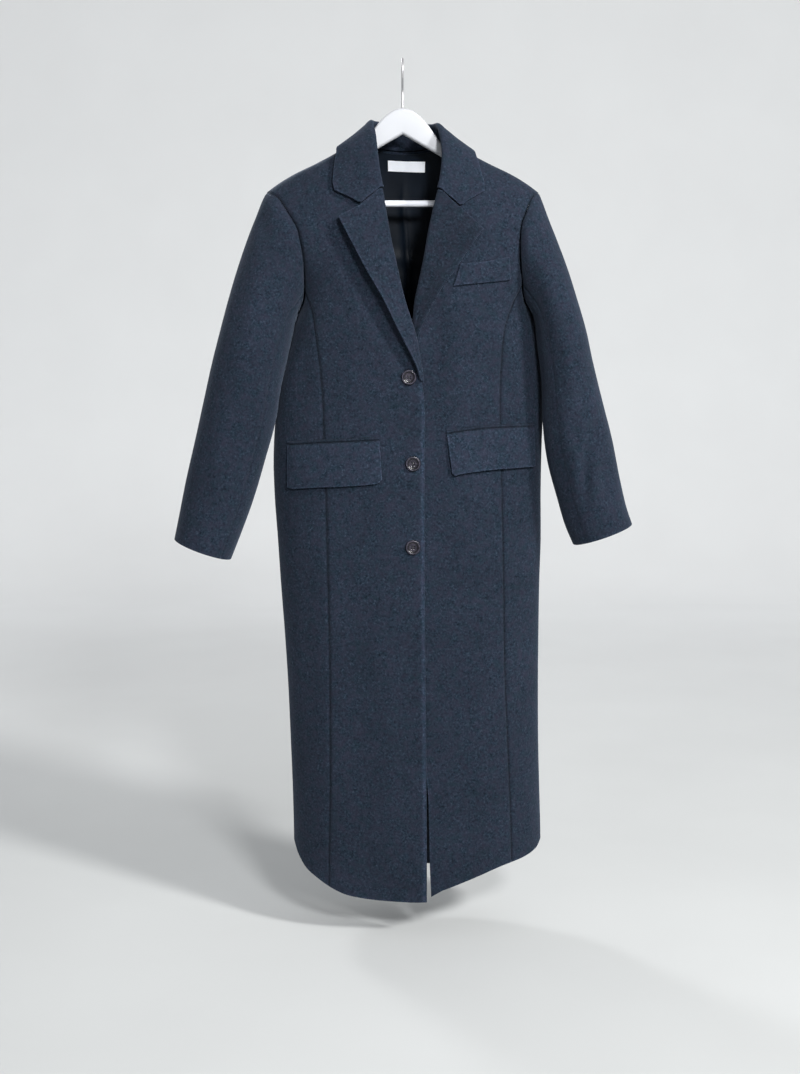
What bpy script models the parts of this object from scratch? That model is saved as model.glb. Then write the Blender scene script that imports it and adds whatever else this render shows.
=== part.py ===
"""A single-breasted wool overcoat hanging on a wooden hanger.

Metres, +Z up. The front of the coat faces -Y and the wearer's left is at +X. The origin is the
inner top of the hanger's hook, where the rail bears. Every piece of cloth is a thin wall cut and
sewn like the real one: it follows one surface of the hanging coat, and what lies on a panel is
made from that panel's own points, moved out. Pieces and their tables are named by the wearer's
sides. Columns and lines named left and right are at -X and +X, as the coat is seen.
"""

import math
from collections import namedtuple

import bmesh
import bpy
from mathutils import Matrix, Vector

MM = 0.001

# ---- cloth -------------------------------------------------------------------------------------

WALL = 2.2 * MM              # shell cloth with its interlining
LAPEL_WALL = 2.4 * MM        # facing and front, pressed together
COLLAR_WALL = 2.8 * MM       # top collar, under collar and interlining
FLAP_WALL = 2.6 * MM
LINING_WALL = 1.0 * MM
LABEL_WALL = 0.8 * MM
SEAM = 0.3 * MM              # pieces stay this far apart where they are sewn
LINING_GAP = 0.6 * MM        # between the back and its lining
LINING_EASE = 0.7 * MM       # more of it along the neckline
ROLL_RADIUS = 2.2 * MM       # middle of the cloth where a lapel turns over
ROLL_LEAD = 0.6 * MM         # flat part before the roll

FRONT = -1
BACK = 1
SHARP_ANGLE = 40             # edges sharper than this stay sharp, in degrees

# ---- shoulders ---------------------------------------------------------------------------------

ShoulderRow = namedtuple("ShoulderRow", "out height")
SHOULDER = [                 # top of the shoulder, by distance from the middle of the coat
    ShoulderRow(0.000, -0.088),
    ShoulderRow(0.040, -0.104),
    ShoulderRow(0.075, -0.1255),
    ShoulderRow(0.104, -0.142),
    ShoulderRow(0.136, -0.1590),
    ShoulderRow(0.173, -0.1766),
    ShoulderRow(0.197, -0.1905),
    ShoulderRow(0.218, -0.2055),
    ShoulderRow(0.300, -0.2700),
]
SHOULDER_TIP = 0.218
SHOULDER_ROUND = 0.20        # half depth below the shoulder line is this times sqrt(drop)
SHOULDER_POWER = 4           # how tightly that round turns into the body below it

# ---- body --------------------------------------------------------------------------------------

BodyRow = namedtuple("BodyRow", "height left right front back")
BODY = [                     # side edges and the depths of front and back, at each height
    BodyRow(-0.080, -0.290, 0.296, 0.092, 0.066),
    BodyRow(-0.200, -0.262, 0.268, 0.092, 0.066),
    BodyRow(-0.260, -0.222, 0.242, 0.092, 0.068),
    BodyRow(-0.320, -0.186, 0.217, 0.092, 0.070),
    BodyRow(-0.3745, -0.161, 0.2025, 0.092, 0.070),
    BodyRow(-0.417, -0.1742, 0.2135, 0.091, 0.068),
    BodyRow(-0.461, -0.1855, 0.2216, 0.090, 0.066),
    BodyRow(-0.504, -0.1970, 0.2268, 0.089, 0.065),
    BodyRow(-0.560, -0.2062, 0.2289, 0.087, 0.064),
    BodyRow(-0.602, -0.2110, 0.2280, 0.086, 0.064),
    BodyRow(-0.667, -0.2106, 0.2270, 0.085, 0.065),
    BodyRow(-0.767, -0.2050, 0.2280, 0.084, 0.067),
    BodyRow(-0.867, -0.1990, 0.2260, 0.084, 0.069),
    BodyRow(-0.968, -0.1920, 0.2260, 0.085, 0.071),
    BodyRow(-1.070, -0.1880, 0.2270, 0.087, 0.073),
    BodyRow(-1.173, -0.1845, 0.2300, 0.089, 0.076),
    BodyRow(-1.270, -0.1830, 0.2335, 0.091, 0.079),
    BodyRow(-1.380, -0.1830, 0.2350, 0.092, 0.081),
]
SQUARE_LEFT = 2.6            # how boxy the section is towards each side: 2 is an ellipse
SQUARE_RIGHT = 2.1

UNDERARM = -0.392
ArmholeRow = namedtuple("ArmholeRow", "height left_front left_back right_front right_back")
ARMHOLE = [                  # where the sleeve seam crosses the front and the back
    ArmholeRow(-0.2055, -0.2180, -0.2180, 0.2180, 0.2180),
    ArmholeRow(-0.2130, -0.2000, -0.2040, 0.2080, 0.2080),
    ArmholeRow(-0.2350, -0.1840, -0.1880, 0.1970, 0.1960),
    ArmholeRow(-0.2655, -0.1655, -0.1750, 0.1865, 0.1880),
    ArmholeRow(-0.2900, -0.1595, -0.1690, 0.1850, 0.1860),
    ArmholeRow(-0.3150, -0.1555, -0.1650, 0.1860, 0.1870),
    ArmholeRow(-0.3540, -0.1545, -0.1560, 0.1905, 0.1880),
    ArmholeRow(-0.3740, -0.1568, -0.1552, 0.1934, 0.1903),
    ArmholeRow(-0.3885, -0.1626, -0.1622, 0.2021, 0.2011),
    ArmholeRow(-0.3920, -0.1647, -0.1647, 0.2056, 0.2056),
]

PrincessRow = namedtuple("PrincessRow", "height left right")
PRINCESS_TOP_LEFT = -0.366   # where each princess seam leaves the armhole
PRINCESS_TOP_RIGHT = -0.354
PRINCESS = [
    PrincessRow(-0.354, -0.1620, 0.1905),
    PrincessRow(-0.366, -0.1555, 0.1840),
    PrincessRow(-0.393, -0.1443, 0.1725),
    PrincessRow(-0.431, -0.1383, 0.1610),
    PrincessRow(-0.478, -0.1312, 0.1570),
    PrincessRow(-0.520, -0.1265, 0.1556),
    PrincessRow(-0.592, -0.1256, 0.1570),
    PrincessRow(-0.674, -0.1226, 0.1595),
    PrincessRow(-0.790, -0.1205, 0.1628),
    PrincessRow(-0.965, -0.1175, 0.1668),
    PrincessRow(-1.143, -0.1180, 0.1756),
    PrincessRow(-1.274, -0.1205, 0.1805),
    PrincessRow(-1.380, -0.1220, 0.1830),
]

# ---- closure, neck and roll lines --------------------------------------------------------------

NECK_LEFT = -0.072           # where the neckline meets each shoulder seam
NECK_RIGHT = 0.078
BACK_NECK_HEIGHT = -0.137

EdgeRow = namedtuple("EdgeRow", "height x")
TOP_EDGE = [                 # inner edge of the front that laps over: neck, roll line, closure
    EdgeRow(-0.1236, NECK_LEFT),
    EdgeRow(-0.1400, -0.0615),
    EdgeRow(-0.1600, -0.0490),
    EdgeRow(-0.1820, -0.0405),
    EdgeRow(-0.2050, -0.0350),
    EdgeRow(-0.2667, -0.0251),
    EdgeRow(-0.3320, -0.0110),
    EdgeRow(-0.3677, -0.0032),
    EdgeRow(-0.4126, 0.0109),
    EdgeRow(-0.4374, 0.0188),
    EdgeRow(-0.4716, 0.0251),
    EdgeRow(-0.5020, 0.0297),
    EdgeRow(-0.5130, 0.0350),
    EdgeRow(-0.7900, 0.0358),
    EdgeRow(-1.3530, 0.0402),
    EdgeRow(-1.4000, 0.0402),
]
UNDER_EDGE = [               # the same edge of the front that lies under
    EdgeRow(-0.1275, NECK_RIGHT),
    EdgeRow(-0.1400, 0.0735),
    EdgeRow(-0.1600, 0.0690),
    EdgeRow(-0.1820, 0.0645),
    EdgeRow(-0.2070, 0.0590),
    EdgeRow(-0.2228, 0.0546),
    EdgeRow(-0.2748, 0.0435),
    EdgeRow(-0.3320, 0.0335),
    EdgeRow(-0.3876, 0.0216),
    EdgeRow(-0.4171, 0.0193),
    EdgeRow(-0.4400, 0.0180),
    EdgeRow(-0.4700, 0.0010),
    EdgeRow(-0.4900, -0.0060),
    EdgeRow(-0.8000, -0.0060),
    EdgeRow(-1.0000, 0.0150),
    EdgeRow(-1.1760, 0.0414),
    EdgeRow(-1.2880, 0.0445),
    EdgeRow(-1.4000, 0.0500),
]

SinkRow = namedtuple("SinkRow", "height depth")
SINK = [                     # how far the under front lies behind the one that laps over it
    SinkRow(-0.200, 0.0),
    SinkRow(-0.330, 0.0),
    SinkRow(-0.380, 5.5 * MM),
    SinkRow(-0.425, 10.5 * MM),
    SinkRow(-0.455, 10.0 * MM),
    SinkRow(-0.510, 5.0 * MM),
    SinkRow(-0.600, 4.0 * MM),
    SinkRow(-1.400, 4.0 * MM),
]
SINK_FULL = 0.046            # the whole depth up to here, none past the second line
SINK_NONE = 0.088

HemRow = namedtuple("HemRow", "x front back")
HEM = [                      # height of the hem, across
    HemRow(-0.2200, -1.262, -1.262),
    HemRow(-0.1825, -1.270, -1.270),
    HemRow(-0.1750, -1.285, -1.280),
    HemRow(-0.1624, -1.304, -1.294),
    HemRow(-0.1422, -1.319, -1.308),
    HemRow(-0.1206, -1.332, -1.320),
    HemRow(-0.0890, -1.344, -1.334),
    HemRow(-0.0300, -1.351, -1.344),
    HemRow(0.0380, -1.354, -1.3465),
    HemRow(0.0500, -1.3430, -1.3455),
    HemRow(0.0713, -1.3325, -1.342),
    HemRow(0.1156, -1.3157, -1.326),
    HemRow(0.1620, -1.2990, -1.308),
    HemRow(0.2030, -1.2890, -1.291),
    HemRow(0.2230, -1.2810, -1.281),
    HemRow(0.2337, -1.2700, -1.270),
    HemRow(0.2600, -1.2580, -1.258),
]

# ---- sleeves -----------------------------------------------------------------------------------

SleeveRow = namedtuple("SleeveRow", "out_x out_z in_x in_z middle_y half_depth")
SLEEVE_RIGHT = [             # outer and inner edge of each ring
    SleeveRow(-0.2200, -0.2055, -0.1653, -0.3925, 0.000, 0.060),
    SleeveRow(-0.2255, -0.2185, -0.1697, -0.3990, -0.008, 0.060),
    SleeveRow(-0.2370, -0.2496, -0.1711, -0.4065, -0.013, 0.060),
    SleeveRow(-0.2485, -0.2810, -0.1731, -0.4155, -0.019, 0.060),
    SleeveRow(-0.2635, -0.3280, -0.1762, -0.4330, -0.027, 0.059),
    SleeveRow(-0.2770, -0.3755, -0.1815, -0.4580, -0.034, 0.058),
    SleeveRow(-0.2900, -0.4235, -0.1878, -0.4860, -0.039, 0.057),
    SleeveRow(-0.3027, -0.4710, -0.1945, -0.5160, -0.041, 0.056),
    SleeveRow(-0.3180, -0.5355, -0.2030, -0.5670, -0.041, 0.055),
    SleeveRow(-0.3333, -0.6003, -0.2205, -0.6290, -0.040, 0.053),
    SleeveRow(-0.3490, -0.6650, -0.2405, -0.6945, -0.040, 0.051),
    SleeveRow(-0.3630, -0.7302, -0.2650, -0.7595, -0.040, 0.049),
    SleeveRow(-0.3694, -0.7595, -0.2785, -0.7930, -0.040, 0.048),
]
SLEEVE_LEFT = [
    SleeveRow(0.2205, -0.2055, 0.2062, -0.3925, 0.000, 0.060),
    SleeveRow(0.2247, -0.2185, 0.2105, -0.3990, -0.008, 0.060),
    SleeveRow(0.2355, -0.2496, 0.2123, -0.4065, -0.013, 0.060),
    SleeveRow(0.2468, -0.2810, 0.2137, -0.4155, -0.019, 0.060),
    SleeveRow(0.2633, -0.3280, 0.2145, -0.4330, -0.027, 0.059),
    SleeveRow(0.2777, -0.3755, 0.2170, -0.4580, -0.034, 0.058),
    SleeveRow(0.2920, -0.4235, 0.2205, -0.4860, -0.039, 0.057),
    SleeveRow(0.3028, -0.4710, 0.2232, -0.5160, -0.041, 0.056),
    SleeveRow(0.3196, -0.5355, 0.2248, -0.5670, -0.041, 0.055),
    SleeveRow(0.3372, -0.6003, 0.2325, -0.6290, -0.040, 0.053),
    SleeveRow(0.3508, -0.6650, 0.2502, -0.6945, -0.040, 0.051),
    SleeveRow(0.3628, -0.7110, 0.2645, -0.7405, -0.040, 0.049),
    SleeveRow(0.3714, -0.7350, 0.2770, -0.7690, -0.040, 0.048),
]
SLEEVE_BLEND = 5             # rings over which the armhole's curve becomes an ellipse
SLEEVE_CLEAR = 0.6 * MM      # between the armhole's edge and the sleeve that laps over it
TIP_CLEAR = 1.5 * MM         # the same at the shoulder tip
TIP_ANGLE = 0.6              # up to here round the armhole, in radians
SIDE_ANGLE = 1.4             # and none of that extra past here
BACK_SLEEVE_SEAM = 3         # column of the sleeve where its back seam runs

CreaseRow = namedtuple("CreaseRow", "out_height angle length width depth")
SLEEVE_CREASES_LEFT = [     # soft troughs pressed into the sleeve at the elbow
    CreaseRow(-0.585, 1.25, 0.070, 0.30, 4.0 * MM),
    CreaseRow(-0.640, 1.05, 0.060, 0.30, 3.0 * MM),
]
SLEEVE_CREASES_RIGHT = [
    CreaseRow(-0.560, 2.00, 0.060, 0.35, 1.5 * MM),
]

# ---- collar and lapels -------------------------------------------------------------------------

CollarRow = namedtuple(
    "CollarRow", "seam_x seam_z seam_side fold_x fold_y fold_z mid_x mid_z edge_x edge_z side lift")
COLLAR = [                   # seam, fold line and outer edge, round the neck from left to right
    CollarRow(-0.0348, -0.2037, FRONT, None, None, None,
              -0.0651, -0.2290, -0.1060, -0.2095, FRONT, 6.0 * MM),
    CollarRow(-0.0405, -0.1820, FRONT, -0.0345, -0.0570, -0.1810,
              -0.0700, -0.1960, -0.1093, -0.1960, FRONT, 5.5 * MM),
    CollarRow(-0.0490, -0.1600, FRONT, -0.0385, -0.0460, -0.1530,
              -0.0710, -0.1620, -0.1075, -0.1720, FRONT, 5.0 * MM),
    CollarRow(-0.0615, -0.1400, FRONT, -0.0425, -0.0250, -0.1180,
              -0.0780, -0.1410, -0.1030, -0.1510, FRONT, 7.0 * MM),
    CollarRow(-0.0720, -0.1236, FRONT, -0.0470, 0.0010, -0.0960,
              None, None, -0.1000, -0.1410, FRONT, 6.0 * MM),
    CollarRow(-0.0560, -0.1288, BACK, -0.0430, 0.0250, -0.0918,
              None, None, -0.0800, -0.1450, BACK, 5.5 * MM),
    CollarRow(-0.0280, -0.1350, BACK, -0.0235, 0.0385, -0.0915,
              None, None, -0.0420, -0.1510, BACK, 4.5 * MM),
    CollarRow(0.0020, -0.1370, BACK, 0.0030, 0.0420, -0.0918,
              None, None, 0.0030, -0.1530, BACK, 4.5 * MM),
    CollarRow(0.0300, -0.1350, BACK, 0.0290, 0.0385, -0.0935,
              None, None, 0.0480, -0.1510, BACK, 4.5 * MM),
    CollarRow(0.0600, -0.1296, BACK, 0.0470, 0.0240, -0.0968,
              None, None, 0.0880, -0.1450, BACK, 5.0 * MM),
    CollarRow(0.0780, -0.1275, FRONT, 0.0540, 0.0010, -0.1005,
              None, None, 0.1090, -0.1420, FRONT, 5.5 * MM),
    CollarRow(0.0735, -0.1400, FRONT, 0.0590, -0.0210, -0.1200,
              0.0900, -0.1460, 0.1150, -0.1550, FRONT, 6.0 * MM),
    CollarRow(0.0690, -0.1600, FRONT, 0.0620, -0.0420, -0.1510,
              0.0920, -0.1700, 0.1220, -0.1740, FRONT, 4.5 * MM),
    CollarRow(0.0645, -0.1820, FRONT, 0.0595, -0.0540, -0.1800,
              0.0930, -0.2010, 0.1280, -0.1960, FRONT, 4.5 * MM),
    CollarRow(0.0590, -0.2050, FRONT, None, None, None,
              0.0899, -0.2325, 0.1280, -0.2100, FRONT, 4.5 * MM),
]
COLLAR_STEPS = 2             # columns between two rows of the collar's table
COLLAR_RISE = 3              # points up the stand
COLLAR_FALL = 3              # and down each half of the fall
COLLAR_CLEAR = 1.6 * MM      # between the neckline and the foot of the stand
FALL_SWELL = 1.0 * MM        # the fall lies this much higher half way down
NECK_MIDDLE = 0.003
GORGE_CLEAR = 0.5 * MM       # between the front's edge and the collar at the gorge
GORGE_LEAD = 1.5 * MM        # flat part there before the fold
GORGE_GAP = 0.6 * MM         # half the distance between the collar and a lapel along the gorge

LapelRow = namedtuple("LapelRow", "roll_x roll_z mid_x mid_z outer_x outer_z lift")
LAPEL_RIGHT = [              # the lapel on top, from the break up to the gorge
    LapelRow(0.0328, -0.5040, 0.0280, -0.5020, 0.0262, -0.5000, 2.0 * MM),
    LapelRow(0.0300, -0.4800, 0.0240, -0.4785, 0.0180, -0.4770, 2.5 * MM),
    LapelRow(0.0255, -0.4520, 0.0142, -0.4495, 0.0030, -0.4470, 4.0 * MM),
    LapelRow(0.0180, -0.4230, 0.0025, -0.4190, -0.0130, -0.4150, 6.0 * MM),
    LapelRow(0.0060, -0.3850, -0.0130, -0.3810, -0.0320, -0.3765, 8.0 * MM),
    LapelRow(-0.0071, -0.3320, -0.0321, -0.3320, -0.0571, -0.3320, 9.0 * MM),
    LapelRow(-0.0160, -0.2900, -0.0465, -0.2925, -0.0770, -0.2945, 9.0 * MM),
    LapelRow(-0.0235, -0.2530, -0.0570, -0.2620, -0.0905, -0.2690, 8.5 * MM),
    LapelRow(-0.0313, -0.2064, -0.0651, -0.2322, -0.0990, -0.2510, 8.0 * MM),
]
LAPEL_LEFT = [               # the lapel that goes under
    LapelRow(0.0144, -0.4400, 0.0205, -0.4390, 0.0240, -0.4380, 1.5 * MM),
    LapelRow(0.0156, -0.4171, 0.0240, -0.4160, 0.0330, -0.4140, 2.0 * MM),
    LapelRow(0.0179, -0.3876, 0.0310, -0.3890, 0.0450, -0.3900, 2.5 * MM),
    LapelRow(0.0240, -0.3600, 0.0430, -0.3600, 0.0619, -0.3593, 3.0 * MM),
    LapelRow(0.0298, -0.3320, 0.0540, -0.3350, 0.0780, -0.3380, 3.0 * MM),
    LapelRow(0.0360, -0.2960, 0.0665, -0.3030, 0.0970, -0.3095, 3.0 * MM),
    LapelRow(0.0440, -0.2550, 0.0800, -0.2700, 0.1157, -0.2830, 3.0 * MM),
    LapelRow(0.0550, -0.2080, 0.0899, -0.2355, 0.1270, -0.2690, 3.0 * MM),
]
LAPEL_STEPS = 2              # rows between two rows of a lapel's table
LAPEL_COLUMNS = 4            # columns from the roll to the outer edge
ROLL_POINTS = 5              # points round the turned edge of a lapel or collar

# ---- pockets, label, lining and buttons --------------------------------------------------------

PATCH_ROWS = 3
PATCH_OFFSET = 0.4 * MM      # a patch lies this far out from the panel under it
NEAR_LINE = 0.03             # lines of a patch closer than this share of its width are one
PatchRow = namedtuple("PatchRow", "share top bottom")
Patch = namedtuple("Patch", "left_top right_top left_bottom right_bottom rows")
FLAP_RIGHT = Patch(-0.1832, -0.0364, -0.1820, -0.0320, [
    PatchRow(0.00, -0.6060, -0.6745), PatchRow(0.02, -0.6060, -0.6758),
    PatchRow(0.35, -0.6025, -0.6730), PatchRow(0.70, -0.6000, -0.6700),
    PatchRow(0.93, -0.5983, -0.6665), PatchRow(0.98, -0.5980, -0.6640),
    PatchRow(1.00, -0.5980, -0.6590)])
FLAP_LEFT = Patch(0.0696, 0.2100, 0.0780, 0.2110, [
    PatchRow(0.00, -0.5875, -0.6490), PatchRow(0.02, -0.5872, -0.6522),
    PatchRow(0.25, -0.5825, -0.6485), PatchRow(0.55, -0.5787, -0.6448),
    PatchRow(0.85, -0.5780, -0.6430), PatchRow(0.98, -0.5780, -0.6425),
    PatchRow(1.00, -0.5780, -0.6410)])
JET_HEIGHT = 5.5 * MM
CHEST_WELT = Patch(0.0905, 0.1674, 0.0790, 0.1694, [
    PatchRow(0.00, -0.3220, -0.3570), PatchRow(0.50, -0.3185, -0.3520),
    PatchRow(0.97, -0.3115, -0.3467), PatchRow(1.00, -0.3113, -0.3460)])
LABEL = Patch(-0.0240, 0.0370, -0.0237, 0.0367, [
    PatchRow(0.00, -0.1500, -0.1665), PatchRow(0.50, -0.1512, -0.1677),
    PatchRow(1.00, -0.1520, -0.1688)])

PleatRow = namedtuple("PleatRow", "column depth")
PLEATS = [                   # folds of the back lining, by column of the back
    PleatRow(7.6, 1.0 * MM),
    PleatRow(9.0, 3.0 * MM),
    PleatRow(10.6, 1.5 * MM),
]
PLEAT_WIDTH = 0.14           # in columns
PLEAT_STEP = 0.15            # between the lining's columns at a fold
PLEAT_START = -0.172         # the folds open below the label
PLEAT_FULL = -0.215
EASE_START = -0.165
LINING_SIDE = 1              # the lining ends this many columns inside the armholes
LINING_HEM = 22.0 * MM       # and this far above the coat's hem
LINING_TOP_GAP = 3.5 * MM    # and this far below the neckline

ButtonRow = namedtuple("ButtonRow", "name x height")
BUTTONS = [
    ButtonRow("button_top", 0.0100, -0.4985),
    ButtonRow("button_middle", 0.0166, -0.6346),
    ButtonRow("button_bottom", 0.0167, -0.7681),
]
BUTTON_RADIUS = 12.0 * MM
ProfileRow = namedtuple("ProfileRow", "radius height")
BUTTON_PROFILE = [           # from the middle of the back round the rim to the middle of the dish
    ProfileRow(0.78 * BUTTON_RADIUS, 0.0),
    ProfileRow(0.98 * BUTTON_RADIUS, 0.9 * MM),
    ProfileRow(1.00 * BUTTON_RADIUS, 2.2 * MM),
    ProfileRow(0.88 * BUTTON_RADIUS, 3.4 * MM),
    ProfileRow(0.72 * BUTTON_RADIUS, 3.2 * MM),
    ProfileRow(0.60 * BUTTON_RADIUS, 2.3 * MM),
]
BUTTON_SIDES = 20
BUTTON_SEAT = 0.4 * MM

# ---- hanger ------------------------------------------------------------------------------------

HangerRow = namedtuple("HangerRow", "out top bottom")
HANGER = [                   # domed head and one arm, out from the middle
    HangerRow(0.000, -0.0740, -0.1150),
    HangerRow(0.012, -0.0762, -0.1217),
    HangerRow(0.024, -0.0830, -0.1284),
    HangerRow(0.036, -0.0942, -0.1352),
    HangerRow(0.047, -0.1085, -0.1413),
    HangerRow(0.056, -0.1220, -0.1464),
    HangerRow(0.065, -0.1320, -0.1514),
    HangerRow(0.080, -0.1400, -0.1598),
]
ARM_SEAT_START = 0.105       # from here out the shoulders rest on the arm
ARM_ROWS = 4
ARM_SLOPE = 0.56             # of the arm's underside
HANGER_THICK = 12.0 * MM
HANGER_EDGE = 5.6 * MM       # radius of the hanger's long edges
SEAT_GAP = WALL + LINING_GAP + LINING_WALL + 1.3 * MM
BAR_RADIUS = 5.25 * MM
BAR_HEIGHT = -0.2230
BAR_HALF = 0.1805            # the bar ends here, against the arms' deep ends
BAR_SIDES = 16
ARM_END = 0.204
ARM_FOOT = -0.2340
ARM_TIP = [                  # the deep end: top from the shoulder's seat, bottom from the foot
    HangerRow(BAR_HALF + 0.4 * MM, -0.4 * MM, 0.0),
    HangerRow(ARM_END - 6.0 * MM, -1.8 * MM, -1.0 * MM),
    HangerRow(ARM_END, -5.0 * MM, 5.0 * MM),
]

HOOK_WIRE = 1.9 * MM         # radius of the wire
HOOK_INNER = 18.5 * MM       # inner radius of the loop
HOOK_MOUTH = 5               # angle at which the loop ends behind the rail, in degrees
HOOK_THROAT = 232            # and where it turns down into the stem
HOOK_KNEE = 13.0 * MM        # from there down to the straight stem
HOOK_STEPS = 20
WIRE_SIDES = 10


# ---- curves through tables ---------------------------------------------------------------------

class Line:
    """A smooth line through two columns of a table. It never overshoots between rows."""

    def __init__(self, table, key, value):
        rows = sorted((getattr(row, key), getattr(row, value)) for row in table)
        self.keys = [row[0] for row in rows]
        self.values = [row[1] for row in rows]
        spans = range(len(rows) - 1)
        self.slopes = [(self.values[i + 1] - self.values[i]) / (self.keys[i + 1] - self.keys[i])
                       for i in spans]
        self.tangents = [self.slopes[0]]
        for before, after in zip(self.slopes, self.slopes[1:]):
            same_way = before * after > 0
            self.tangents.append(2 * before * after / (before + after) if same_way else 0.0)
        self.tangents.append(self.slopes[-1])

    def __call__(self, at):
        at = min(max(at, self.keys[0]), self.keys[-1])
        i = 0
        while i < len(self.keys) - 2 and at > self.keys[i + 1]:
            i += 1
        width = self.keys[i + 1] - self.keys[i]
        t = (at - self.keys[i]) / width
        rise = self.tangents[i] * (t ** 3 - 2 * t ** 2 + t) + self.tangents[i + 1] * (t ** 3 - t ** 2)
        step = 3 * t ** 2 - 2 * t ** 3
        return self.values[i] * (1 - step) + self.values[i + 1] * step + rise * width


def mix(start, end, share):
    return start + (end - start) * share


def fade(start, end, at):
    """0 before start, 1 past end, smooth between them."""
    share = min(max((at - start) / (end - start), 0.0), 1.0)
    return share * share * (3 - 2 * share)


def steps(count):
    return [i / count for i in range(count + 1)]


def spline_point(points, at):
    """Point on a smooth curve through points; at counts rows, so 1.5 is between rows 1 and 2."""
    i = min(int(at), len(points) - 2)
    t = at - i
    here, after = points[i], points[i + 1]
    before = points[i - 1] if i > 0 else 2 * here - after
    beyond = points[i + 2] if i + 2 < len(points) else 2 * after - here
    return 0.5 * (2 * here + (after - before) * t
                  + (2 * before - 5 * here + 4 * after - beyond) * t * t
                  + (3 * here - before - 3 * after + beyond) * t * t * t)


# ---- the surface of the coat -------------------------------------------------------------------

body_left = Line(BODY, "height", "left")
body_right = Line(BODY, "height", "right")
front_depth = Line(BODY, "height", "front")
back_depth = Line(BODY, "height", "back")
shoulder_line = Line(SHOULDER, "out", "height")
top_edge = Line(TOP_EDGE, "height", "x")
under_edge = Line(UNDER_EDGE, "height", "x")
princess_left = Line(PRINCESS, "height", "left")
princess_right = Line(PRINCESS, "height", "right")
sink_depth = Line(SINK, "height", "depth")
hem_front = Line(HEM, "x", "front")
hem_back = Line(HEM, "x", "back")
armhole = {
    ("left", FRONT): Line(ARMHOLE, "height", "left_front"),
    ("left", BACK): Line(ARMHOLE, "height", "left_back"),
    ("right", FRONT): Line(ARMHOLE, "height", "right_front"),
    ("right", BACK): Line(ARMHOLE, "height", "right_back"),
}

NEAR_EDGE = 2e-4             # how close to a side or a shoulder seam a normal is still worked out
NORMAL_STEP = 1e-4
THINNEST = 1e-9              # half depth below which front and back meet


def shoulder_height(x):
    return shoulder_line(abs(x))


def across(x, z):
    """Where x lies between the sides at height z: -1 and 1 are the side seams."""
    middle = (body_left(z) + body_right(z)) / 2
    half = (body_right(z) - body_left(z)) / 2
    share = min(max((x - middle) / half, -1.0), 1.0)
    return math.asin(share) * 2 / math.pi


def x_across(w, z):
    middle = (body_left(z) + body_right(z)) / 2
    half = (body_right(z) - body_left(z)) / 2
    return middle + half * math.sin(w * math.pi / 2)


def body_point(side, w, z):
    """Point of the coat's outer surface: side is FRONT or BACK, w runs from side to side."""
    share = abs(math.sin(w * math.pi / 2))
    square = SQUARE_LEFT if w < 0 else SQUARE_RIGHT
    depth = front_depth(z) if side == FRONT else back_depth(z)
    box = depth * max(1 - share ** square, 0.0) ** (1 / square)
    x = x_across(w, z)
    tent = SHOULDER_ROUND * math.sqrt(max(shoulder_height(x) - z, 0.0))
    if min(box, tent) < THINNEST:
        return Vector((x, 0.0, z))
    depth = (box ** -SHOULDER_POWER + tent ** -SHOULDER_POWER) ** (-1 / SHOULDER_POWER)
    return Vector((x, side * depth, z))


def shoulder_normal(x):
    slope = (shoulder_height(x + NORMAL_STEP) - shoulder_height(x - NORMAL_STEP)) / (2 * NORMAL_STEP)
    return Vector((-slope, 0, 1)).normalized()


def body_normal(side, w, z):
    x = x_across(w, z)
    if shoulder_height(x) - z < NEAR_EDGE:
        return shoulder_normal(x)
    w = min(max(w, -1 + NEAR_EDGE), 1 - NEAR_EDGE)
    along = body_point(side, w + NORMAL_STEP, z) - body_point(side, w - NORMAL_STEP, z)
    up = body_point(side, w, z + NORMAL_STEP) - body_point(side, w, z - NORMAL_STEP)
    return (along.cross(up) * -side).normalized()


def sink(x, z):
    return sink_depth(z) * (1 - fade(SINK_FULL, SINK_NONE, x))


def cloth(side, x, z, under=False):
    """Outer point and normal of a panel at x and z. The under front lies behind the other one."""
    w = across(x, z)
    point = body_point(side, w, z)
    normal = body_normal(side, w, z)
    if under:
        point = point - normal * sink(x, z)
    return point, normal


# ---- meshes ------------------------------------------------------------------------------------

def make_material(name, color, roughness, metallic=0.0):
    material = bpy.data.materials.new(name)
    material.use_nodes = True
    shader = material.node_tree.nodes["Principled BSDF"]
    shader.inputs["Base Color"].default_value = (*color, 1.0)
    shader.inputs["Roughness"].default_value = roughness
    shader.inputs["Metallic"].default_value = metallic
    return material


def add_object(name, mesh_data, material, smooth=True):
    mesh = bpy.data.meshes.new(name)
    mesh_data.to_mesh(mesh)
    mesh_data.free()
    mesh.materials.append(material)
    if smooth:
        mesh.shade_smooth()
        mesh.set_sharp_from_angle(angle=math.radians(SHARP_ANGLE))
    thing = bpy.data.objects.new(name, mesh)
    bpy.context.scene.collection.objects.link(thing)
    return thing


def close_tube(mesh, rings):
    """Faces between rings of vertices, and a flat face over each end."""
    count = len(rings[0])
    for low, high in zip(rings, rings[1:]):
        for i in range(count):
            j = (i + 1) % count
            mesh.faces.new((low[i], low[j], high[j], high[i]))
    mesh.faces.new(rings[0][::-1])
    mesh.faces.new(rings[-1])
    bmesh.ops.recalc_face_normals(mesh, faces=mesh.faces)


def trim(grid, gap):
    """Draw the four edges of a grid of (point, normal) back by gap, for the seams."""
    rows, columns = len(grid), len(grid[0])

    def pull(row, column, to_row, to_column):
        point, normal = grid[row][column]
        towards = grid[to_row][to_column][0] - point
        if towards.length > gap:
            grid[row][column] = (point + towards.normalized() * gap, normal)

    for row in range(rows):
        pull(row, 0, row, 1)
        pull(row, columns - 1, row, columns - 2)
    for column in range(columns):
        pull(0, column, 1, column)
        pull(rows - 1, column, rows - 2, column)


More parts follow.
